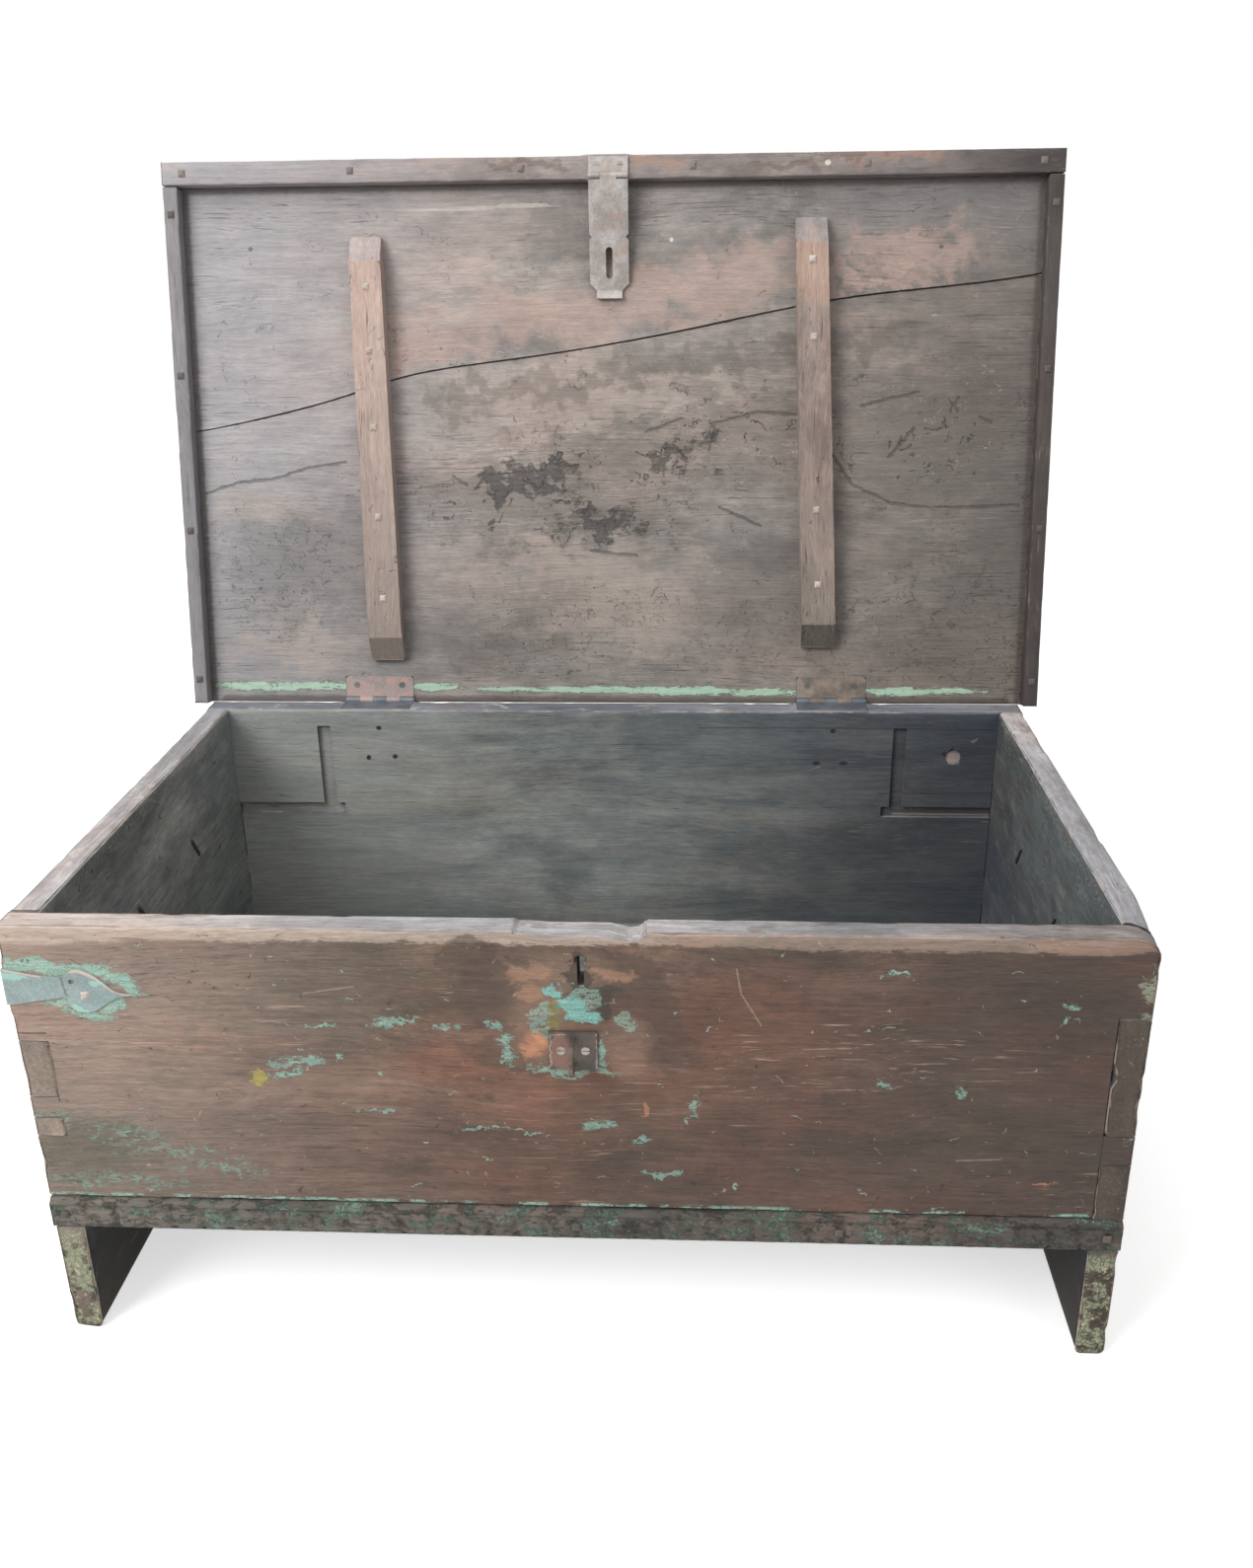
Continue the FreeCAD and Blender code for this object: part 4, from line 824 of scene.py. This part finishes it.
# small bruises and dark fibres all over, and a dark band along the rims and battens: dirt, and painted shade
# where they meet the boards
lidZones = (
    {"colour": (76, 71, 68), "strength": 0.55, "raise": -0.8, "strokes": {"scale": 42, "reach": 0.4,
     "slim": 0.022, "spread": 0.5, "share": 0.28}},
    {"colour": (188, 172, 160), "strength": 0.4, "strokes": {"scale": 55, "reach": 0.3, "slim": 0.03,
     "spread": 1.6, "share": 0.16}},
    # dark band along the rims and battens: dirt, and painted shade in the corners
    {"calm": 1, "colour": (74, 68, 64), "strength": 0.7, "ragged": 0.1, "grit": 90, "soft": 0.5, "width": 5,
     "paths": (((-451, 545), (-451, 0)), ((451, 545), (451, 0)), ((-451, 544), (451, 544)),
     ((-436, 0), (436, 0)))})
# the plank in front of the open joint: a warm band, small holes, a line of cream
frontLidZones = (
    {"colour": (168, 143, 132), "strength": 0.55, "ragged": 0.14, "grit": 22, "soft": 0.6, "erode": 0.15,
     "spots": ((-193, 383, 80, 26), (-68, 412, 100, 28), (81, 434, 90, 30), (150, 462, 40, 32),
     (320, 476, 70, 18), (283, 446, 60, 10))},
    {"colour": (84, 79, 76), "strength": 0.45, "ragged": 0.15, "grit": 22, "soft": 0.7,
     "spots": ((190, 518, 60, 18), (300, 395, 60, 16), (-30, 500, 60, 30))},
    {"calm": 1, "colour": (70, 66, 62), "strength": 0.7, "ragged": 0.1, "grit": 160,
     "spots": ((-382, 484, 2.4, 2.4), (348, 478, 2.4, 2.4), (428, 420, 2.4, 2.4))},
    {"calm": 1, "colour": (186, 180, 172), "strength": 0.5, "ragged": 0.1, "grit": 160, "erode": 0.3,
     "spots": ((-169, 521, 50, 1.4), (-87, 524, 30, 2.2), (-115, 523, 60, 0.8))},
    {"calm": 1, "colour": (206, 200, 190), "strength": 0.7, "ragged": 0.1, "spots": ((67, 488, 2.2, 2.2),)})
# the plank behind it: hewn and wormy, scratched, with a line of old paint along the hinged edge
rearLidZones = (
    {"colour": (168, 152, 141), "strength": 0.4, "ragged": 0.15, "grit": 22, "soft": 0.7,
     "spots": ((-48, 335, 150, 36), (40, 110, 120, 36), (-60, 150, 100, 20), (-370, 215, 60, 20),
     (-345, 60, 60, 30))},
    {"colour": (84, 79, 76), "strength": 0.45, "ragged": 0.15, "grit": 22, "soft": 0.7,
     "spots": ((150, 110, 60, 60), (-138, 62, 80, 34), (378, 300, 60, 70), (425, 150, 30, 110),
     (-330, 160, 80, 60), (350, 70, 80, 40))},
    {"colour": (84, 78, 74), "strength": 0.45, "ragged": 0.08, "grit": 40, "soft": 0.6, "width": 13,
     "paths": (((-180, 326), (-20, 350), (200, 372), (320, 392)),)},
    {"colour": (106, 99, 93), "strength": 0.45, "ragged": 0.22, "grit": 60, "soft": 0.6, "erode": 0.2,
     "name": "hewn", "raise": -0.6, "spots": ((30, 262, 110, 26), (150, 292, 100, 28), (330, 285, 100, 44),
     (-60, 215, 130, 36), (330, 232, 80, 12))},
    {"colour": (58, 55, 53), "strength": 0.8, "raise": -1.6, "area": "hewn", "strokes": {**hackMarks,
     "scale": 48, "lean": -0.5, "share": 0.5}},
    {"colour": (186, 168, 154), "strength": 0.55, "raise": 0.8, "area": "hewn", "strokes": {**hackMarks,
     "scale": 60, "lean": -0.4, "slim": 0.05, "share": 0.3}},
    {"colour": (66, 66, 68), "strength": 0.7, "ragged": 0.3, "grit": 110, "soft": 0.6, "erode": 0.3,
     "raise": -1.5, "spots": ((-100, 247, 30, 8), (-130, 240, 10, 12), (-62, 241, 22, 7), (-12, 196, 26, 7),
     (6, 184, 12, 8), (-40, 206, 20, 5), (70, 268, 18, 8), (108, 288, 10, 8))},
    {"calm": 1, "colour": (64, 60, 58), "strength": 0.5, "ragged": 0.28, "grit": 110, "erode": 0.6,
     "raise": -1.5, "width": 1.2, "soft": 0.6, "paths": (((108, 272), (114, 296)), ((300, 264), (326, 294)),
     ((240, 268), (262, 236)), ((262, 236), (305, 216), (345, 211), (440, 213)), ((364, 312), (372, 326)),
     ((372, 312), (362, 324)), ((395, 306), (408, 300)), ((40, 292), (78, 306)),
     ((110, 300), (160, 312), (220, 308)), ((270, 318), (330, 332)), ((120, 212), (165, 192)),
     ((-170, 246), (-155, 236)), ((-20, 166), (30, 160)), ((-445, 229), (-410, 240), (-369, 244),
     (-330, 256), (-288, 262)))},
    {"colour": (70, 65, 62), "strength": 0.6, "ragged": 0.1, "raise": -0.8, "spots": ((360, 70, 120, 70),
     (20, 80, 200, 50), (-350, 130, 120, 70)), "strokes": {"scale": 80, "reach": 0.46, "slim": 0.05,
     "spread": 0.35, "share": 0.6}},
    {"calm": 1, "colour": (162, 190, 168), "raise": 1, "ragged": 0.22, "grit": 110, "erode": 0.45,
     "soft": 0.1, "strength": 0.88, "spots": ((-385, 15, 60, 5.2), (-330, 16, 40, 4.8), (-200, 15, 30, 4.5),
     (-110, 13, 40, 2.4), (-30, 12.5, 60, 3.6), (80, 11.5, 80, 4.8), (170, 10.5, 40, 4.8),
     (320, 11, 40, 4.8), (375, 12.5, 32, 4.2))})
lidWoods = {}
for part, partZones in {"front": frontLidZones, "rear": rearLidZones}.items():
    lidWoods[part] = woodMaterial(part + "LidWood", {**lidFinish, "zones": partZones + lidZones})
lidHollows = {"spots": ((-105, 246, 34, 12), (-14, 196, 30, 12), (75, 270, 30, 14)), "depth": 0.0024,
              "hackDepth": 0.0016}


def lidHewn(place, normal):    # hollows and tool marks hewn into the lid's underside
    if normal.z > -0.5:
        return 0.0
    reach = lidPivot.y - place.y
    depth = 0.0
    for spot in lidHollows["spots"]:
        across, away, halfWide, halfHigh = (each * millimetre for each in spot)
        far = math.hypot((place.x - across) / halfWide, (reach - away) / halfHigh)
        depth += lidHollows["depth"] * max(0.0, 1.0 - far * far)
    hacked = smooth(place.x, -0.19, -0.06) * smooth(reach, 0.13, 0.20) * smooth(-reach, -0.345, -0.29)
    hacked *= max(0.0, noise.noise(Vector((place.x * 45.0, reach * 60.0, 2.0))))
    return depth + lidHollows["hackDepth"] * hacked


lidWear = {
    "spacing": (0.006, 0.006, 0.01), "rim": fineRim, "reach": 0.005, "ripple": 0.0007, "swell": 0.0008,
    "round": 0.001, "chips": 0.006, "calm": hingeNodes}
for part in ("front", "rear"):
    agedBoard(part + "LidPlank", "lid_" + part + "_plank", "lid", lidWoods[part], lidWear,
              lid=True, shape=lidHewn)

rimFinish = {
    "lid": True, "colours": ((98, 90, 87), (126, 116, 112), (144, 134, 130)), "streak": 0.22,
    "warm": ((136, 113, 102), 0.5), "dull": ((108, 105, 105), 0.5), "wear": 0.3,
    "patches": ((14, 0.52, 0.64, (94, 84, 79), 0.6), (26, 0.54, 0.66, (154, 131, 117), 0.4)),
    "worn": (160, 151, 146), "wornShare": 0.45,
    # paler towards the left and near-black towards the right: painted light and painted shade along the rim
    "drifts": ((inX, 0.05, -0.46, (150, 148, 152), 0.66), (inX, 0.25, 0.455, (48, 44, 43), 0.82)),
    "zonesOn": lidUnder,
    "zones": (
        {"calm": 1, "colour": (196, 188, 176), "strength": 0.8, "ragged": 0.1, "grit": 200,
         "spots": ((227, 558, 3, 2.8),)},
        {"colour": (146, 116, 100), "strength": 0.55, "ragged": 0.2, "grit": 60, "soft": 0.4, "erode": 0.3,
         "spots": ((300, 562, 50, 6), (50, 560, 30, 6))},
        {"colour": (88, 71, 61), "strength": 0.5, "ragged": 0.25, "grit": 60, "soft": 0.4, "erode": 0.2,
         "spots": ((250, 566, 40, 6), (190, 556, 30, 5), (-80, 560, 40, 4))})}
rimWear = {
    **lidWear, "spacing": (0.006, 0.006, 0.006), "rim": (0.0008, 0.002, 0.004), "calm": ("hasp_fixed_leaf",)}
sideWear = {**rimWear, "stretch": (50, 6, 50)}
agedBoard("frontLidRim", "lid_front_rim", "lid", woodMaterial("frontRimWood", rimFinish), rimWear,
          lid=True)
sideRimWood = woodMaterial("sideRimWood", {
    **rimFinish, "turn": 90, "zones": (),
    # paler towards the left and near-black towards the right: painted light and painted shade on the side
    # rims
    "drifts": ((inX, 0.05, -0.46, (116, 116, 120), 0.66), (inX, 0.25, 0.455, (44, 40, 39), 0.85))})
for side in ("left", "right"):
    agedBoard(side + "LidRim", "lid_" + side + "_rim", "lid", sideRimWood, sideWear, lid=True)

battenFinish = {
    "lid": True, "turn": 90, "colours": ((120, 104, 96), (144, 127, 118), (158, 141, 132)),
    "warm": ((158, 131, 117), 0.5), "dull": ((120, 112, 105), 0.6), "streak": 0.24, "dark": 0.75,
    # the ends that face up on the open lid get pale grey, and those that face down get dark brown: a lit and
    # a shaded copy of the batten's wood, painted light and painted shade
    "otherFaces": ((inY, -1, {"colours": ((104, 102, 104), (128, 126, 128), (142, 140, 142)),
        "slope": (0.25, 0.4)}), (inY, 1, {"colours": ((66, 62, 57), (82, 76, 70), (96, 90, 83)),
        "slope": (0.25, 0.4)})),
    "patches": ((20, 0.52, 0.65, (104, 90, 83), 0.5), (34, 0.55, 0.67, (172, 155, 143), 0.4)), "wear": 0.28,
    "worn": (172, 158, 147), "wornShare": 0.5,
    # paler towards the left, painted light; darker towards the hinge
    "drifts": ((inX, 0.1, -0.3, (182, 160, 151), 0.4), (inY, 0.38, 0.1, (112, 107, 99), 0.45)),
    "zonesOn": lidUnder,
    "zones": (
        {"colour": (164, 134, 116), "strength": 0.5, "ragged": 0.2, "grit": 90, "soft": 0.4, "erode": 0.2,
         "spots": ((214, 455, 20, 40),)},
        {"colour": (58, 50, 46), "strength": 0.75, "raise": -1, "strokes": {"scale": 70, "reach": 0.4,
         "slim": 0.03, "lean": 1.57, "spread": 0.4, "share": 0.3}})}
battenWood = woodMaterial("battenWood", battenFinish)
for side in ("left", "right"):
    agedBoard(side + "Batten", side + "_batten", "lid", battenWood, {**sideWear, "calm": ()},
              lid=True)
print("lid boards done")


# metals keep their CAD meshes
def ironMaterial(name, finish):
    material, shader = newMaterial(name)
    place, facing = ownPlace("lid" in finish)
    rust = useGroup(rustGroup, {"Vector": place, **picked(finish, "scale", "amount")})
    bare, rusty, deep = finish["colours"]
    colour = mixed(remap(cloud(place, 40.0, 4.0), 0.38, 0.62), bare, deep)
    colour = mixed(rust["Mask"], colour, rusty)
    colour = shaded(colour, remap(rust["Tone"], 0.3, 0.7, 0.8, 1.2))
    height = rust["Height"]
    here = {"place": place, "facing": facing, "fibre": 0.5, "wobble": (0.01, 0.006),
            "face": finish.get("zonesOn"), "laid": {}}
    for zone in finish.get("zones", ()):
        mask = zoneMask(here, zone)
        colour = mixed(mask, colour, zone["colour"])
        height = plus(height, times(mask, zone.get("raise", 0.0)))
    feed(shader.inputs["Base Color"], colour)
    metal = finish.get("metal", 0.5)
    feed(shader.inputs["Metallic"], remap(rust["Mask"], 0.0, 1.0, metal, 0.2 * metal))
    rough = finish.get("rough", 0.45)
    feed(shader.inputs["Roughness"], remap(rust["Tone"], 0.3, 0.7, rough, rough + 0.3))
    bump = put("ShaderNodeBump", {"Strength": 0.5, "Distance": 0.0003, "Height": height})
    feed(shader.inputs["Normal"], bump.outputs[0])
    return material


def dress(material, nodeNames):
    for nodeName in nodeNames:
        mesh = nodes[nodeName].data
        mesh.materials.clear()
        mesh.materials.append(material)


# bare, rusty and deep colour of each iron, and the nodes it is on
irons = {
    "salmonIron": {
        "colours": ((150, 136, 132), (166, 132, 122), (132, 122, 120)), "amount": 0.55, "metal": 0.2,
        "rough": 0.5, "on": ("left_hinge_lid_leaf",)},
    "tanIron": {
        "colours": ((138, 126, 116), (128, 106, 90), (98, 92, 86)), "amount": 0.5, "metal": 0.25,
        "rough": 0.5, "on": ("right_hinge_lid_leaf",)},
    "blueIron": {
        "colours": ((104, 108, 114), (110, 102, 98), (84, 90, 98)), "amount": 0.35, "metal": 0.4,
        "rough": 0.45,
        "on": ("left_hinge_case_leaf", "right_hinge_case_leaf", "left_hinge_pin", "right_hinge_pin",
            "hinge_case_screws")},
    "dullScrew": {
        "colours": ((112, 108, 104), (104, 92, 84), (88, 84, 82)), "amount": 0.35, "metal": 0.4,
        "on": ("hinge_lid_screws",)},
    "brightScrew": {
        "colours": ((168, 160, 152), (140, 122, 108), (130, 124, 118)), "amount": 0.3, "metal": 0.5,
        "rough": 0.35, "on": ("hasp_screws", "staple_screws")},
    "nailIron": {
        "colours": ((112, 103, 98), (116, 100, 90), (98, 92, 88)), "amount": 0.5, "metal": 0, "rough": 0.6,
        "on": ("floor_nails", "front_rim_nails")},
    "darkNail": {
        "colours": ((84, 78, 72), (92, 76, 66), (66, 62, 58)), "amount": 0.5, "metal": 0, "rough": 0.6,
        "on": ("rail_nails", "side_rim_nails")},
    "paleNail": {
        "colours": ((182, 171, 160), (150, 132, 118), (150, 142, 134)), "amount": 0.5, "metal": 0,
        "rough": 0.5, "on": ("batten_nails", "strap_nails")},
    "haspSteel": {
        "lid": True, "colours": ((158, 152, 149), (138, 118, 105), (132, 126, 122)), "amount": 0.5,
        "metal": 0.25, "rough": 0.42, "scale": 45, "on": ("hasp_leaf", "hasp_fixed_leaf", "hasp_pin")},
    "stapleIron": {
        "colours": ((84, 74, 68), (96, 78, 68), (64, 58, 54)), "amount": 0.5, "metal": 0.35, "rough": 0.4,
        "zonesOn": frontOut,
        "zones": (
            {"colour": (124, 92, 80), "strength": 0.8, "ragged": 0.15, "grit": 60, "soft": 0.25,
             "spots": ((-8, 298, 9, 18),)},
            # pale lines along the plate's edges: painted highlight on its arrises
            {"colour": (150, 140, 132), "strength": 0.7, "ragged": 0.1, "width": 0.6, "soft": 0.5,
             "paths": (((-16.5, 281.5), (-16.5, 313.5), (-2, 313.5)), ((20.5, 281.5), (20.5, 313.5)))}),
        "on": ("staple",)},
    "strapPaint": {
        "colours": ((132, 148, 146), (134, 136, 130), (120, 134, 134)), "amount": 0.35, "metal": 0,
        "rough": 0.55, "scale": 55, "zonesOn": frontOut,
        "zones": (
            # a pale raised line along the strap's upper edge and curl: worn bare, and painted highlight
            # where the edge catches the light
            {"colour": (184, 164, 150), "strength": 0.9, "ragged": 0.12, "grit": 90, "calm": 1,
             "width": 1.8, "soft": 0.4, "raise": 2, "paths": (((-449, 364), (-436, 361), (-421, 358.5)),
             ((-404, 360.5), (-397, 363), (-388, 363.5), (-380, 360), (-373, 355.5), (-368, 350.5),
             (-362, 346), (-354, 343), (-345, 342.2)))},
            {"colour": (96, 92, 84), "strength": 0.8, "ragged": 0.15, "grit": 90, "width": 0.9, "soft": 0.4,
             "paths": (((-402, 358.5), (-403, 352), (-401, 340)), ((-380, 364), (-366, 352),
             (-356, 346.5)))},
            {"colour": mint, "strength": 0.8, "ragged": 0.35, "grit": 90, "spots": ((-440, 356, 10, 4),
             (-395, 329, 8, 3), (-376, 352, 6, 3))}),
        "on": ("corner_strap",)},
    "handleIron": {
        "colours": ((78, 76, 76), (98, 78, 66), (56, 54, 54)), "amount": 0.45, "metal": 0.5,
        "on": ("left_handle_bail", "right_handle_bail", "left_handle_eyes", "right_handle_eyes")}}
for ironName, ironFinish in irons.items():
    dress(ironMaterial(ironName, ironFinish), ironFinish["on"])
plugFinish = {"colours": ((134, 120, 116), (152, 138, 134), (166, 152, 148)), "streak": 0.15, "pale": 0.2,
              "dark": 0.3, "bump": 0.4, "wear": 0.0}
dress(woodMaterial("plugWood", plugFinish), ("knot_plug",))
print("metals done")

# studio
cameraAt = {"place": (0.101025, -1.281552, 0.917473), "pitch": -22.23, "roll": 0.82, "yaw": 3.21,
            "focalPixels": 1437.548, "frameHeight": 1589, "sensor": 36.0, "clipStart": 0.05}
studio = {"sky": 0.50, "nearGlow": 0.58, "farGlow": 0.70, "paper": 0.75, "nearReach": 0.8, "farReach": 2.2,
          "floorHalf": 30.0}
lamps = {
    "keyLamp": {"place": (-1.9, -2.0, 2.2), "aim": (-0.1, 0.0, 0.4), "size": 1.8, "power": 88.0},
    "topLamp": {"place": (-0.6, -0.4, 2.6), "aim": (-0.1, 0.0, 0.3), "size": 1.6, "power": 26.0},
    "fillLamp": {"place": (2.4, -2.4, 2.2), "aim": (0.0, 0.0, 0.4), "size": 2.2, "power": 24.0}}


def addCamera():
    data = bpy.data.cameras.new("camera")
    data.sensor_width = cameraAt["sensor"]
    data.lens = cameraAt["sensor"] * cameraAt["focalPixels"] / cameraAt["frameHeight"]
    data.clip_start = cameraAt["clipStart"]
    camera = bpy.data.objects.new("camera", data)
    bpy.context.collection.objects.link(camera)
    turn = Matrix.Rotation(math.radians(cameraAt["yaw"]), 4, "Z")
    turn @= Matrix.Rotation(math.radians(cameraAt["pitch"]), 4, "X")
    turn @= Matrix.Rotation(math.radians(cameraAt["roll"]), 4, "Y")
    turn @= Matrix.Rotation(math.radians(90.0), 4, "X")    # a new camera looks straight down
    camera.matrix_world = Matrix.Translation(cameraAt["place"]) @ turn
    bpy.context.scene.camera = camera


def addLamp(name, place, aim, size, power):
    data = bpy.data.lights.new(name, "AREA")
    data.shape = "DISK"
    data.size = size
    data.energy = power
    lamp = bpy.data.objects.new(name, data)
    bpy.context.collection.objects.link(lamp)
    direction = Vector(aim) - Vector(place)
    lamp.matrix_world = Matrix.Translation(place) @ direction.to_track_quat("-Z", "Y").to_matrix().to_4x4()


def whiteView():    # 1 where the camera, a reflection or a pane looks straight at it
    ways = put("ShaderNodeLightPath").outputs
    seen = calc("MAXIMUM", ways["Is Camera Ray"], ways["Is Glossy Ray"])
    return calc("MAXIMUM", seen, ways["Is Transmission Ray"])


def addFloor():
    mesh = bpy.data.meshes.new("floor")
    half = studio["floorHalf"]
    corners = [(-half, -half, 0), (half, -half, 0), (half, half, 0), (-half, half, 0)]
    mesh.from_pydata(corners, [], [(0, 1, 2, 3)])
    floor = bpy.data.objects.new("floor", mesh)
    bpy.context.collection.objects.link(floor)
    material = bpy.data.materials.new("floorPaper")
    out = startNodes(material, "ShaderNodeOutputMaterial")
    paper = put("ShaderNodeBsdfDiffuse", {"Color": (studio["paper"],) * 3 + (1.0,)})
    away = length(put("ShaderNodeTexCoord").outputs["Object"])
    # the glow is weaker near the chest than further out: a painted shadow round the chest, beside the one
    # the lamps cast
    glow = remap(away, studio["nearReach"], studio["farReach"], studio["nearGlow"], studio["farGlow"])
    glow = put("ShaderNodeEmission", {"Strength": times(whiteView(), glow)})
    both = put("ShaderNodeAddShader", {0: paper.outputs[0], 1: glow.outputs[0]})
    feed(out, both.outputs[0])
    mesh.materials.append(material)


def setWorld():
    world = bpy.data.worlds.new("studio")
    bpy.context.scene.world = world
    out = startNodes(world, "ShaderNodeOutputWorld")
    strength = plus(times(whiteView(), 1.0 - studio["sky"]), studio["sky"])
    sky = put("ShaderNodeBackground", {"Color": (1.0, 1.0, 1.0, 1.0), "Strength": strength})
    feed(out, sky.outputs[0])


addCamera()
addFloor()
setWorld()
for lampName, lamp in lamps.items():
    addLamp(lampName, **lamp)
bpy.context.scene.view_settings.view_transform = "Standard"
print("studio done")
